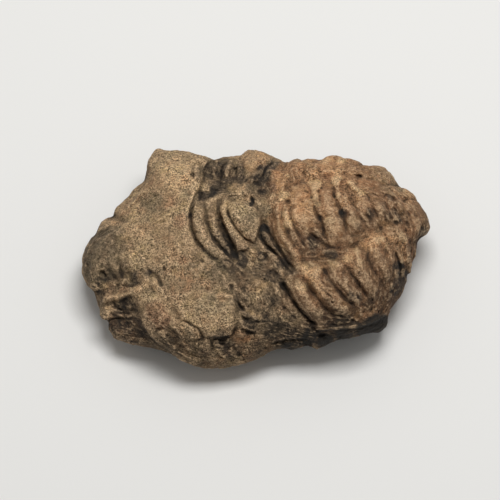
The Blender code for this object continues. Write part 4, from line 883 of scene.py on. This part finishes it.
def settle(stone):
    # turned from the sight plane to stand upright, cut flat below, and fitted to the solid's box
    mesh = stone.data
    writePoints(mesh, readPoints(mesh) @ sightAxes() * mm)
    bpy.ops.object.mode_set(mode="EDIT")
    bpy.ops.mesh.select_all(action="SELECT")
    bpy.ops.mesh.bisect(
        plane_co=(0, 0, -lump["baseDrop"] * mm), plane_no=(0, 0, -1), use_fill=True, clear_outer=True, threshold=1e-7
    )
    bpy.ops.mesh.select_all(action="SELECT")
    bpy.ops.mesh.normals_make_consistent(inside=False)
    bpy.ops.object.mode_set(mode="OBJECT")
    low, high = (np.array(corner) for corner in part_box("trilobite_fossil"))
    points = readPoints(mesh)
    mine = points.min(axis=0), points.max(axis=0)
    size = (high[0] - low[0]) / (mine[1][0] - mine[0][0])
    middle = np.array([(mine[0][0] + mine[1][0]) / 2, (mine[0][1] + mine[1][1]) / 2, mine[0][2]])
    writePoints(mesh, (points - middle) * size + np.array([(low[0] + high[0]) / 2, (low[1] + high[1]) / 2, low[2]]))


def neighbourMean(values, ends, counts):
    total = np.empty_like(values)
    for axis in range(values.shape[1]):
        column = values[:, axis]
        both = np.bincount(ends[:, 0], column[ends[:, 1]], len(column))
        total[:, axis] = both + np.bincount(ends[:, 1], column[ends[:, 0]], len(column))
    return total / counts[:, None]


# rounds of smoothing before each depth is measured
hollowSteps = {6: "hollowFine", 28: "hollowMiddle", 90: "hollowBroad"}


def markHollows(stone):
    # plus in a hollow, minus on a ridge top
    mesh = stone.data
    ends = readEdges(mesh)
    counts = np.bincount(ends.ravel(), minlength=len(mesh.vertices)).astype(float)
    points = readPoints(mesh)
    normals = readNormals(mesh)
    smooth = points.copy()
    leaning = normals.copy()
    for step in range(1, 91):
        smooth = neighbourMean(smooth, ends, counts)
        leaning = neighbourMean(leaning, ends, counts)
        if step in hollowSteps:
            depth = np.einsum("ij,ij->i", smooth - points, normals) / mm
            writeValue(mesh, hollowSteps[step], depth)
    # painted shade: faces turning down or towards the camera, away from the lamp above and behind, are marked to be
    # darkened in the colour
    rise = leaning @ np.array((0, 0.34, 0.94)) / np.linalg.norm(leaning, axis=1)
    writeValue(mesh, "side", ease((0.80 - rise) / 0.75))


# where each kind of stone shows, and where painted shade and painted highlight are laid: across, up, radius, amount, in
# millimetres on the sight plane
stains = {
    "fossil": [
        (18, 10, 15, 1.0), (8, 8, 6, 0.9), (24, -4, 12, 1.0), (14, -7, 7, 0.9), (33, 6, 9, 1.0), (20, 20, 9, 0.9),
        (8, 17, 6, 0.9), (1, 21.5, 3, 0.4), (19, -12, 8, 0.9),
    ],
    "ochre": [
        (10.2, 13.6, 2.6, 1.0), (10.6, 10.2, 2.6, 1.0), (11.8, 7.8, 1.5, 0.8), (17.4, 6.6, 2.6, 0.9),
        (17.4, 4.2, 1.2, 1.0), (27, 3.8, 3, 0.7), (31.6, 6.2, 2.8, 0.9), (14.3, -7.4, 1.4, 0.9), (12.8, -4.6, 2, 0.7),
        (21.8, 8, 1.8, 0.7), (0.6, 22.8, 2.2, 0.5), (-1.4, 21.2, 1.2, 0.5), (22, 0, 2.4, 0.6), (4.4, 18.6, 1.6, 0.5),
        (5.4, 17.4, 1.6, 0.6), (17, 21.4, 3, 0.6), (12, 20.8, 3, 0.4), (-4.4, -17.7, 1.6, 1.0), (-2.6, -18.3, 1.2, 1.0), (21.8, -12.6, 1.2, 0.8),
        (6, 3.4, 1.8, 0.5), (7.4, 9.6, 1.6, 0.5), (-15, -4, 5, 0.25), (24, -2, 2, 0.4), (33.4, 13.8, 2.4, 0.4),
    ],
    # pale stone; many spots lie where ridge tops catch the light, so partly pale stone, partly painted highlight
    "creamAndHighlight": [
        (6.4, 9.6, 0.9, 0.8), (7.0, 7.7, 1.1, 1.0), (5.8, 14.2, 1.4, 0.8), (13.4, 16.6, 1.3, 1.0), (13.4, 14.4, 0.9, 1.0),
        (13.8, 12.8, 0.8, 0.8), (16.4, 9.0, 1.1, 0.9), (17.4, 8.4, 0.8, 0.6), (18.3, 18.4, 1.3, 0.9),
        (18.5, 14.6, 0.7, 0.8), (21.6, 17.2, 0.8, 0.8), (22.8, 15.8, 0.8, 0.9), (23.8, 14.6, 0.8, 0.8),
        (21.6, 8.7, 0.9, 0.8), (22.6, 7.5, 0.7, 0.6), (12.2, -2.9, 1.9, 0.8), (10.1, -6.6, 1.2, 1.0),
        (9.6, -5.2, 0.8, 0.8), (17.4, -1.4, 1.2, 0.6), (20.8, -0.4, 1.2, 0.7), (23.0, 1.4, 1.0, 0.9),
        (23.5, -0.6, 0.7, 0.8), (27.6, 4.6, 1.8, 0.6), (27.4, 3.0, 0.8, 0.7), (29.8, 2.6, 0.8, 0.5),
        (33.5, 5.4, 0.7, 1.0), (34.0, 4.4, 0.8, 1.0), (34.6, 2.6, 0.7, 0.5), (0.8, -5.2, 1.7, 1.0), (-0.8, -6.6, 1.4, 1.0), (2.8, -4.9, 1.1, 0.8),
        (-1.2, -13.3, 1.1, 1.0), (0.8, -13.8, 0.8, 0.6), (-2.6, -15.9, 0.6, 0.8), (-4.8, 16.4, 1.5, 1.0),
        (-3.4, 16.6, 1.1, 0.7), (-0.6, 22.6, 2.0, 0.45), (-20.4, 16.8, 2.6, 0.3), (-18.5, 19.5, 5.0, 0.38), (-13.8, 17.0, 1.8, 0.3), (-30.0, 4.8, 1.4, 0.45), (-28.9, 1.6, 1.5, 0.45), (-31.6, -8.6, 1.4, 0.9), (-29.4, -8.2, 0.8, 0.7), (-27.0, -7.3, 0.8, 0.7),
        (-25.0, -6.1, 0.9, 0.7), (-23.2, -6.4, 1.0, 0.7), (-10.9, -2.3, 0.7, 1.0), (-34.0, -11.2, 0.6, 0.8),
        (27.0, -14.1, 1.0, 0.7), (24.6, -15.0, 0.9, 0.5), (19.4, 22.8, 1.3, 0.6), (15.5, 22.4, 1.3, 0.5),
        (-9.2, 3.4, 0.35, 1.0), (-8.0, -8.6, 1.6, 0.6), (-6.0, -8.5, 1.0, 0.5), (-0.6, 1.0, 1.0, 0.6), (-12.8, 10.6, 1.2, 0.5),
        (-7.4, 12.8, 0.9, 0.6), (-4.0, 12.8, 1.2, 0.5), (2.6, 1.2, 0.6, 0.7), (3.2, -1.6, 0.5, 0.6), (-0.6, -2.0, 0.7, 0.6),
        (-13.4, -17.4, 0.8, 0.6), (-35.0, 8.0, 1.4, 0.5), (-33.4, 7.8, 1.0, 0.7), (6.6, -2.8, 0.8, 0.5), (7.4, -5.4, 0.8, 0.6),
        (30.8, 15.6, 0.9, 0.5), (32.4, 15.0, 0.8, 0.6), (22.8, 17.0, 0.7, 0.4), (7.0, 18.6, 0.5, 0.8), (-21.6, -16.9, 0.5, 0.9),
    ],
    "grey": [
        (-18.5, 21, 4, 0.65), (-22, 20, 2, 0.4), (-15.5, 18, 2, 0.4), (-23.4, 12.6, 2.6, 0.8), (-21.6, 13.2, 1.6, 0.5),
        (-16, 15.4, 1.8, 0.9), (-36, 3, 4.4, 0.9), (-35, -1, 4.4, 0.9), (-38, -4, 2.4, 0.8), (-33, 5, 3, 0.5),
        (-25.4, 8.6, 2, 0.4), (-10.4, -10.4, 3.4, 0.7), (-8, -13.4, 2.4, 0.5), (-12.8, -12, 2, 0.6), (-6.6, -10, 2, 0.6),
        (-2.4, 9.4, 3, 0.9), (-4.4, 11.8, 1.6, 0.6), (-3.6, 15.4, 2.2, 0.6), (1.8, 11, 2, 0.6), (-13.4, 8, 1.8, 0.5),
        (-12.4, 4.4, 1.8, 0.5), (-10.4, 1.6, 1.8, 0.6), (-8.8, -1.8, 2.2, 0.7), (-14.8, -1.6, 1.3, 0.6), (-10, -4, 2, 0.5),
        (-24.8, -8.4, 2.2, 0.6), (-21.2, -6.4, 1.4, 0.7), (-34.8, -12.6, 1.4, 0.8), (-30.8, -10.9, 1.2, 0.8),
        (-16, -16.6, 1.8, 0.5), (-27, -1.2, 1.8, 0.5), (1, -10, 3, 0.3), (-29, 2, 2, 0.3), (-6.4, 5.4, 1.4, 0.3),
    ],
    # dark stone, and painted shade under the near rim, in the crevices and in the valley
    "shaleAndShade": [
        (-9.4, 8.6, 1.0, 0.6), (-8.6, 5.4, 1.1, 0.7), (-7.6, 3.2, 1.2, 0.9), (-6.4, 1.6, 1.3, 0.9), (-3.6, -0.9, 1.5, 1.0),
        (-7.0, -1.2, 1.2, 0.7), (-5.4, -2.6, 1.2, 0.5), (-8, 19.4, 4.4, 0.72), (-12.2, 19.4, 2.4, 0.7), (-3.6, 18.8, 2.2, 0.7),
        (-9, 16.4, 1.6, 0.8), (-12.6, 14.4, 1.5, 0.9), (2.2, 6.2, 1.2, 0.9), (2.2, 4.4, 1.5, 0.8), (3.8, 2.0, 1.8, 0.8),
        (6, -1.2, 1.8, 0.9), (7.6, -3.0, 1.5, 0.7), (3.6, -3.8, 2.2, 0.7), (0.4, -3.0, 2, 0.6), (2.8, -8.8, 2, 0.4), (1.6, 0.4, 1.2, 0.8),
        (1.8, 19.6, 1.8, 0.9), (0.2, 18.2, 1.6, 0.9), (3.6, 21.6, 1.4, 0.8), (1.0, 15.2, 1.0, 0.7), (3.6, -10, 3, 0.4),
        (5.8, -6.4, 1.2, 0.7), (3.4, -16.2, 3.4, 0.8), (7, -18, 4, 0.7), (12, -17.6, 3.4, 0.7), (-1.6, -15.2, 2.4, 0.7),
        (-7.8, -19, 2, 0.9), (-6, -20.8, 2.4, 0.6), (20, -18, 5, 1.0), (27, -16.4, 3.6, 1.0), (29.6, -14.6, 1.6, 1.0),
        (-30, -12.8, 3.2, 0.65), (-30, -17, 5, 0.6), (-34.4, -4.4, 2.4, 0.5), (-31.6, -4.6, 1.6, 0.5), (-28.4, -4.8, 2, 0.6),
        (-36, -6.6, 1.6, 0.6), (-29.8, -10.8, 1.8, 0.8), (34, -6, 2.6, 0.6), (32.6, -1.6, 1.1, 0.9), (32.8, -3.8, 1.0, 1.0),
        (38.4, 5.8, 1.4, 0.8), (31.6, 9.6, 2, 0.5), (20.2, 10.2, 1.1, 0.7), (26.4, 10.4, 1.5, 0.6), (28.6, 11.6, 1.4, 0.4),
        (-18, -22, 4, 0.15), (-13, -22.8, 2.4, 0.3), (22.4, -8.6, 1.6, 0.7), (25.6, -10.6, 2, 0.4), (31, -7.2, 1.6, 0.6),
        (12.8, 3.6, 1.5, 0.8), (17.1, 0.4, 1.4, 0.8), (14.4, 5.6, 0.8, 0.6), (-24.4, -3.6, 0.9, 0.8), (-14.8, -1.8, 0.9, 0.6),
        (-15.3, 9.6, 0.7, 0.9), (9.0, -14.4, 2, 0.5), (10.6, 17.4, 0.8, 0.4), (31.0, 13.9, 1.0, 0.5),
    ],
    # painted shade: broad patches darkened to set how brightly each part looks lit
    "paintedShade": [
        (0.6, 16.4, 3.2, 1.0), (-6.4, 15.6, 3.4, 0.5), (-12.6, 11.6, 2.6, 0.65), (-8.2, 3.4, 3.4, 1.0),
        (-5.4, 0.2, 3.6, 1.0), (0.8, 3.8, 3.0, 0.8), (3.8, -0.4, 3.2, 0.95), (12.4, 3.2, 3.2, 1.0), (16.6, 3.4, 3.4, 0.8),
        (20.8, 4.2, 3.4, 0.6), (12.6, -0.4, 2.2, 0.7), (16.8, 0.0, 3.0, 0.6), (22.4, 8.2, 3.0, 0.8), (27.0, 8.4, 3.4, 0.75),
        (32.4, 8.4, 4.0, 0.8), (36.4, 7.0, 3.0, 0.5), (16.8, -4.6, 3.4, 0.7), (20.6, -6.0, 4.0, 0.7), (25.4, -1.4, 3.6, 0.6),
        (32.2, -4.8, 3.6, 0.7), (26.0, -8.0, 4.0, 0.5), (15.6, -12.2, 3.4, 0.85), (19.6, -12.0, 3.4, 0.5),
        (8.4, -11.6, 3.4, 0.75), (4.6, -8.0, 3.6, 0.9), (8.0, -4.4, 2.4, 0.8), (-4.2, -5.6, 4.4, 0.95),
        (-8.6, -2.6, 4.0, 0.9), (-3.4, -10.8, 3.4, 1.0), (2.4, -2.2, 2.6, 0.5), (0.8, -4.2, 4.2, 0.6), (-20.0, 2.0, 7.0, 0.16), (1.2, -11.6, 3.6, 0.65),
        (-9.0, -7.4, 3.0, 0.45), (-15.4, -4.6, 5.0, 0.4), (-12.4, -0.4, 3.4, 0.4), (-23.6, -4.2, 3.0, 0.65),
        (-35.6, 0.6, 5.0, 0.75), (-32.4, -0.8, 3.4, 0.6), (-23.4, -17.0, 3.6, 0.75), (-20.8, -20.4, 4.0, 0.85),
        (-12.6, -20.0, 3.0, 0.35), (9.6, -20.2, 4.4, 0.85), (4.0, -20.0, 3.4, 0.4), (28.0, -15.6, 2.4, 0.9),
        (-8.0, 20.0, 4.0, 0.3), (12.4, 12.6, 2.0, 0.35), (8.0, 16.0, 3.0, 0.3), (11.6, 8.2, 2.4, 0.55),
        (7.8, 4.6, 2.2, 0.75), (28.6, 4.6, 2.4, 0.45), (30.4, 13.8, 4.6, 0.45), (36.8, 10.4, 3.0, 0.5),
        (28.6, 17.6, 3.0, 0.3), (32.6, -8.6, 3.0, 0.7), (1.8, -8.4, 3.0, 0.45), (3.0, -13.0, 3.4, 0.5),
        (0.4, 11.8, 2.0, 0.45), (30.6, 0.6, 2.6, 0.35), (10.6, -17.6, 3.0, 0.5),
        (20.4, 8.6, 2.2, 0.8), (16.2, 8.4, 2.0, 0.45), (31.6, 7.8, 2.6, 0.9), (-24.0, 12.4, 3.0, 0.4),
        (0.6, 20.6, 2.6, 0.4), (-31.2, -2.6, 3.2, 0.75), (-31.4, -8.4, 2.2, 0.6), (-12.8, 7.2, 2.6, 0.5),
        (-0.4, 8.4, 2.6, 0.55), (13.0, 7.4, 2.2, 0.6), (16.8, 7.6, 2.2, 0.75), (24.8, -4.4, 2.6, 0.6),
        (12.2, -8.4, 2.4, 0.55), (-24.4, -12.8, 2.4, 0.6), (10.2, -12.6, 2.4, 0.8), (-32.4, -16.2, 2.8, 0.85),
        (-35.2, 2.6, 5.4, 0.95), (-29.8, -13.2, 3.4, 0.5),
    ],
    # painted shadow: near black under the near rim, in the crevices and in the slot
    "paintedBlackShade": [
        (27.4, -15.4, 2.6, 1.0), (29.0, -14.0, 1.4, 1.0), (24, -16.4, 2, 0.9), (20, -17.8, 2, 0.8), (15.6, -18.6, 2, 0.8),
        (12, -18, 2, 0.7), (1.8, 6.6, 1.2, 0.8), (1.6, 4.4, 1.0, 0.6), (-8.0, 19.6, 1.0, 0.5), (2.6, 19.4, 1.0, 0.6), (-4.2, 0.2, 1.3, 0.5), (0.6, 19.4, 1.2, 0.4),
        (14.2, 9.6, 0.8, 0.6), (15.0, 6.8, 0.7, 0.5), (19.6, 10.2, 0.8, 0.5), (13.2, 11.4, 0.7, 0.5),
        (-0.8, 12.9, 0.7, 0.8), (-6.2, 2.6, 0.9, 0.6), (-5.2, 0.8, 1.0, 0.6), (-7.2, 5.0, 0.7, 0.5),
        (34.0, -3.4, 1.0, 0.7), (32.8, -2.0, 0.7, 0.8), (7, -20, 2, 0.6), (0, -21, 2, 0.4), (-10.6, 15.0, 1.0, 0.7),
        (-28.4, -4.6, 1.0, 0.5), (-35.6, -5.4, 1.2, 0.5), (-30.6, -11.6, 1.2, 0.4), (-31, -14, 2, 0.4),
    ],
    "rust": [
        (-22, 16, 5, 0.25), (-29.4, 3.4, 1.6, 0.4), (-17.4, 8.4, 2, 0.5), (-17, -0.4, 2, 0.4), (-2, -20.6, 3, 0.4),
        (9.4, 13.2, 2.2, 0.6), (-22.6, -13.8, 3, 0.8), (-16, -5, 5, 0.3), (31.6, 6.6, 1.8, 0.7), (36, 1, 3, 0.4),
        (-29, 12, 3, 0.3), (17.4, 4.4, 1.4, 0.6), (-3.6, 2.2, 1.4, 0.5), (15, 21, 4, 0.4), (4.2, 17.2, 1.6, 0.8),
        (-33.6, -7.4, 2, 0.5), (-30.2, -7.2, 1.4, 0.6), (10.8, 4.4, 1.2, 0.6), (-27, -16.4, 3, 0.6), (-31, -16.4, 4.4, 1.0), (-20, 13, 2, 0.4),
        (-24, -12, 2, 0.5), (-13, -5.4, 3, 0.3), (-19, -7, 3, 0.3),
    ],
}


def markStains(stone):
    mesh = stone.data
    across = readValue(mesh, "across")
    up = readValue(mesh, "up")
    strayed = np.array([noise.noise_vector(Vector((a, b, 0)) / 2.6) for a, b in zip(across, up)])
    across = across + 0.8 * strayed[:, 0]
    up = up + 0.8 * strayed[:, 1]
    for name, spots in stains.items():
        kept = np.zeros(len(across))
        for x, y, radius, amount in spots:
            near = amount * ease(1.5 - np.hypot(across - x, up - y) / radius)
            kept = np.maximum(kept, near)
        writeValue(mesh, name, kept)


# colours are linear
stoneLooks = {
    "sand": (0.308, 0.210, 0.122, 1),
    "sandPale": (0.355, 0.255, 0.152, 1),
    "grey": (0.30, 0.224, 0.136, 1),
    "umber": (0.295, 0.166, 0.087, 1),
    "ochre": (0.50, 0.285, 0.145, 1),
    # pale stone, also painted highlight on ridge tops
    "creamAndHighlight": (0.62, 0.42, 0.235, 1),
    "rust": (0.31, 0.175, 0.105, 1),
    # dark stone, also painted shade under the rim and in crevices
    "shaleAndShade": (0.068, 0.051, 0.037, 1),
    # painted shade for faces turned down and towards the camera
    "paintedSideShade": (0.42, 0.41, 0.40, 1),
    # painted shade, multiplied over broad patches
    "paintedShade": (0.36, 0.36, 0.37, 1),
    # painted shadow, near black
    "paintedBlackShade": (0.018, 0.015, 0.012, 1),
    # dark grain specks, and the near black of hollows, cracks and pits: silt settled there and painted shade
    "dirtAndShade": (0.010, 0.0075, 0.0055, 1),
    # pale grains and streaks, and painted highlight on ridge tops
    "paleAndHighlight": (0.60, 0.43, 0.27, 1),
}


def addNode(tree, kind, inputs=None, **settings):
    node = tree.nodes.new(kind)
    for name, value in settings.items():
        setattr(node, name, value)
    for name, value in (inputs or {}).items():
        if isinstance(value, bpy.types.NodeSocket):
            tree.links.new(value, node.inputs[name])
        else:
            node.inputs[name].default_value = value
    return node


def mathNode(tree, operation, first, second=0.0, clamp=False):
    return addNode(tree, "ShaderNodeMath", {0: first, 1: second}, operation=operation, use_clamp=clamp).outputs[0]


def rangeNode(tree, value, low, high, toLow=0.0, toHigh=1.0):
    inputs = {"Value": value, "From Min": low, "From Max": high, "To Min": toLow, "To Max": toHigh}
    return addNode(tree, "ShaderNodeMapRange", inputs, clamp=True).outputs["Result"]


def mixColour(tree, amount, under, over, blend="MIX"):
    node = addNode(tree, "ShaderNodeMix", data_type="RGBA", blend_type=blend)
    for slot, value in (("Factor_Float", amount), ("A_Color", under), ("B_Color", over)):
        socket = next(s for s in node.inputs if s.identifier == slot)
        if isinstance(value, bpy.types.NodeSocket):
            tree.links.new(value, socket)
        else:
            socket.default_value = value
    return next(s for s in node.outputs if s.identifier == "Result_Color")


def noiseValue(tree, place, size, detail=3.0, rough=0.6, warp=0.0):
    inputs = {"Vector": place, "Scale": 1 / (size * mm), "Detail": detail, "Roughness": rough, "Distortion": warp}
    return addNode(tree, "ShaderNodeTexNoise", inputs).outputs["Fac"]


def cellValue(tree, place, size):
    # a different value for each grain of sand
    cells = addNode(tree, "ShaderNodeTexVoronoi", {"Vector": place, "Scale": 1 / (size * mm)})
    return addNode(tree, "ShaderNodeSeparateColor", {"Color": cells.outputs["Color"]}).outputs["Red"]


def attributeValue(tree, name):
    return addNode(tree, "ShaderNodeAttribute", attribute_name=name).outputs["Fac"]


def makeStoneMaterial():
    material = bpy.data.materials.new("brownSandyStone")
    material.use_nodes = True
    tree = material.node_tree
    surface = tree.nodes["Principled BSDF"]
    place = addNode(tree, "ShaderNodeTexCoord").outputs["Object"]

    flat = addNode(tree, "ShaderNodeVectorMath", {0: place, 1: (1.0, 1.5, 1.5)}, operation="MULTIPLY").outputs[0]
    patch = noiseValue(tree, place, 6.0, 4.0, 0.6)
    tint = noiseValue(tree, place, 3.6, 3.0, 0.6)
    blotch = noiseValue(tree, place, 2.2, 3.0, 0.65)
    pebble = noiseValue(tree, flat, 0.9, 4.0, 0.7)
    speck = noiseValue(tree, flat, 0.65, 3.0, 0.75)
    glint = noiseValue(tree, flat, 0.5, 2.0, 0.6)
    grain = cellValue(tree, place, 0.2)

    def spread(name, soft=0.35):
        # an attribute broken up by the blotchy noise, so its edge is ragged
        ragged = mathNode(tree, "ADD", attributeValue(tree, name), rangeNode(tree, blotch, 0.25, 0.75, -soft, soft))
        return rangeNode(tree, ragged, 0.2, 0.75)

    colour = mixColour(tree, rangeNode(tree, patch, 0.35, 0.65), stoneLooks["sand"], stoneLooks["sandPale"])
    colour = mixColour(tree, spread("fossil"), colour, stoneLooks["umber"])
    colour = mixColour(tree, spread("grey"), colour, stoneLooks["grey"])
    colour = mixColour(tree, mathNode(tree, "MULTIPLY", spread("rust"), 0.7), colour, stoneLooks["rust"])
    colour = mixColour(tree, mathNode(tree, "MULTIPLY", spread("ochre"), 0.8), colour, stoneLooks["ochre"])
    # pale stone and painted highlight
    colour = mixColour(tree, mathNode(tree, "MULTIPLY", spread("creamAndHighlight"), 0.75), colour, stoneLooks["creamAndHighlight"])
    # dark stone and painted shade
    colour = mixColour(tree, mathNode(tree, "MULTIPLY", spread("shaleAndShade"), 0.9), colour, stoneLooks["shaleAndShade"])
    colour = mixColour(tree, rangeNode(tree, tint, 0.52, 0.64), colour, (0.98, 0.90, 0.86, 1), "MULTIPLY")
    colour = mixColour(tree, rangeNode(tree, tint, 0.48, 0.36), colour, (0.97, 0.97, 0.89, 1), "MULTIPLY")
    # painted shade: faces turned down and towards the camera are darkened
    colour = mixColour(tree, spread("side"), colour, stoneLooks["paintedSideShade"], "MULTIPLY")
    # painted shade: broad patches darkened
    colour = mixColour(tree, attributeValue(tree, "paintedShade"), colour, stoneLooks["paintedShade"], "MULTIPLY")

    # painted highlight: ridge tops are lightened, partly as worn edges
    paleAndHighlight = rangeNode(tree, attributeValue(tree, "hollowFine"), -0.02, -0.16)
    paleAndHighlight = mathNode(tree, "MAXIMUM", paleAndHighlight, rangeNode(tree, attributeValue(tree, "hollowMiddle"), -0.12, -0.5))
    paleAndHighlight = mathNode(tree, "MULTIPLY", paleAndHighlight, rangeNode(tree, pebble, 0.35, 0.6))
    colour = mixColour(tree, mathNode(tree, "MULTIPLY", paleAndHighlight, 0.5), colour, stoneLooks["paleAndHighlight"])
    lines = attributeValue(tree, "lines")
    colour = mixColour(tree, rangeNode(tree, lines, -0.6, -2.4, 0.0, 0.25), colour, stoneLooks["paleAndHighlight"])
    colour = mixColour(tree, rangeNode(tree, lines, 0.6, 2.4, 0.0, 0.35), colour, stoneLooks["shaleAndShade"])

    light = mixColour(tree, 1.0, colour, (2.0, 1.95, 1.85, 1), "MULTIPLY")
    dark = mixColour(tree, 1.0, colour, (0.26, 0.25, 0.23, 1), "MULTIPLY")
    coarseness = rangeNode(tree, patch, 0.4, 0.62, 0.45, 0.85)
    for name, least in (("fossil", 0.65), ("paintedShade", 0.6), ("shaleAndShade", 0.7)):
        coarseness = mathNode(tree, "MULTIPLY", coarseness, rangeNode(tree, attributeValue(tree, name), 0, 1, 1, least))
    shade = mathNode(tree, "MULTIPLY", mathNode(tree, "SUBTRACT", grain, 0.5), coarseness)
    shade = mathNode(tree, "ADD", mathNode(tree, "MULTIPLY", shade, 1.9), rangeNode(tree, pebble, 0.3, 0.7, 0.32, 0.62))
    colour = mixColour(tree, shade, dark, light)
    colour = mixColour(tree, rangeNode(tree, glint, 0.64, 0.72, 0.0, 0.4), colour, stoneLooks["paleAndHighlight"])
    colour = mixColour(tree, rangeNode(tree, speck, 0.64, 0.74, 0.0, 0.6), colour, stoneLooks["dirtAndShade"])

    # hollows, cracks and pits darkened: partly silt settled there, partly painted shade
    soilAndShade = rangeNode(tree, attributeValue(tree, "hollowFine"), 0.02, 0.26, 0.0, 0.8)
    deep = rangeNode(tree, attributeValue(tree, "hollowBroad"), 0.15, 1.3, 0.0, 0.75)
    middle = rangeNode(tree, attributeValue(tree, "hollowMiddle"), 0.03, 0.6, 0.0, 0.7)
    deep = mathNode(tree, "MAXIMUM", deep, middle)
    drawn = mathNode(tree, "ADD", attributeValue(tree, "dirtAndShade"), rangeNode(tree, pebble, 0.3, 0.7, -0.35, 0.2))
    soilAndShade = mathNode(tree, "MAXIMUM", mathNode(tree, "MAXIMUM", soilAndShade, deep), rangeNode(tree, drawn, 0.15, 1.1, 0.0, 0.95))
    soilAndShade = mathNode(tree, "MULTIPLY", soilAndShade, rangeNode(tree, blotch, 0.3, 0.62, 0.45, 1.0))
    colour = mixColour(tree, soilAndShade, colour, stoneLooks["dirtAndShade"])
    # painted shadow: near black under the near rim and in crevices
    colour = mixColour(tree, mathNode(tree, "MULTIPLY", spread("paintedBlackShade"), 0.93), colour, stoneLooks["paintedBlackShade"])

    tree.links.new(colour, surface.inputs["Base Color"])
    tree.links.new(rangeNode(tree, grain, 0.0, 1.0, 0.97, 0.80), surface.inputs["Roughness"])
    surface.inputs["Specular IOR Level"].default_value = 0.3

    fine = addNode(tree, "ShaderNodeBump", {"Height": pebble, "Distance": 0.0004, "Strength": 1.0})
    coarse = addNode(
        tree, "ShaderNodeBump", {"Height": blotch, "Distance": 0.0005, "Strength": 0.6, "Normal": fine.outputs["Normal"]}
    )
    tree.links.new(coarse.outputs["Normal"], surface.inputs["Normal"])
    return material


def makeStone():
    stone = startBall()
    print("ball:", len(stone.data.polygons), "faces")
    carve(stone)
    print("forms pressed")
    roughen(stone)
    settle(stone)
    print("settled:", len(stone.data.polygons), "faces")
    markHollows(stone)
    markStains(stone)
    print("hollows and stains marked")
    bpy.ops.object.select_all(action="DESELECT")
    stone.select_set(True)
    bpy.context.view_layer.objects.active = stone
    bpy.ops.object.shade_smooth()
    stone.data.materials.clear()
    stone.data.materials.append(makeStoneMaterial())
    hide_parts("trilobite_fossil")
    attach(stone, "root")
    return stone


studio = {
    "floorSize": 3.0,
    "floorColour": (0.80, 0.795, 0.775, 1),
    "lampSize": (0.34, 0.28),
    "lampAt": (0.06, 0.02, 0.7),
    "lampAim": (0, 0.55, 0),
    "lampPower": 4.5,
    "airLight": 0.31,
    "cameraDistance": 1.6,
    "frameWidth": 0.1145,
    "aim": (-0.0014, 0.001, 0.0131),
}


def makeFloor():
    bpy.ops.object.select_all(action="DESELECT")
    bpy.ops.mesh.primitive_plane_add(size=studio["floorSize"], location=(0, 0, 0))
    floor = bpy.context.object
    floor.name = "floor"
    material = bpy.data.materials.new("palePaper")
    material.use_nodes = True
    surface = material.node_tree.nodes["Principled BSDF"]
    surface.inputs["Base Color"].default_value = studio["floorColour"]
    surface.inputs["Roughness"].default_value = 0.7
    floor.data.materials.append(material)


def addLamp(name, at, target, size, power):
    bpy.ops.object.light_add(type="AREA", location=at)
    lamp = bpy.context.object
    lamp.name = name
    lamp.data.energy = power
    lamp.data.shape = "RECTANGLE"
    lamp.data.size, lamp.data.size_y = size
    lamp.rotation_euler = (Vector(target) - Vector(at)).to_track_quat("-Z", "Y").to_euler()


def makeLights():
    addLamp("windowLight", studio["lampAt"], studio["lampAim"], studio["lampSize"], studio["lampPower"])
    world = bpy.data.worlds.new("softRoom")
    world.use_nodes = True
    world.node_tree.nodes["Background"].inputs["Color"].default_value = (1.0, 0.99, 0.97, 1)
    world.node_tree.nodes["Background"].inputs["Strength"].default_value = studio["airLight"]
    bpy.context.scene.world = world
    bpy.context.scene.view_settings.view_transform = "Standard"


def makeCamera():
    aim = Vector(studio["aim"])
    away = Vector((0, -math.cos(sightRise), math.sin(sightRise)))
    bpy.ops.object.camera_add(location=aim + away * studio["cameraDistance"])
    camera = bpy.context.object
    camera.rotation_euler = (-away).to_track_quat("-Z", "Y").to_euler()
    camera.data.sensor_width = 36
    camera.data.lens = 36 * studio["cameraDistance"] / studio["frameWidth"]
    bpy.context.scene.camera = camera


makeStone()
makeFloor()
makeLights()
makeCamera()
print("scene ready")
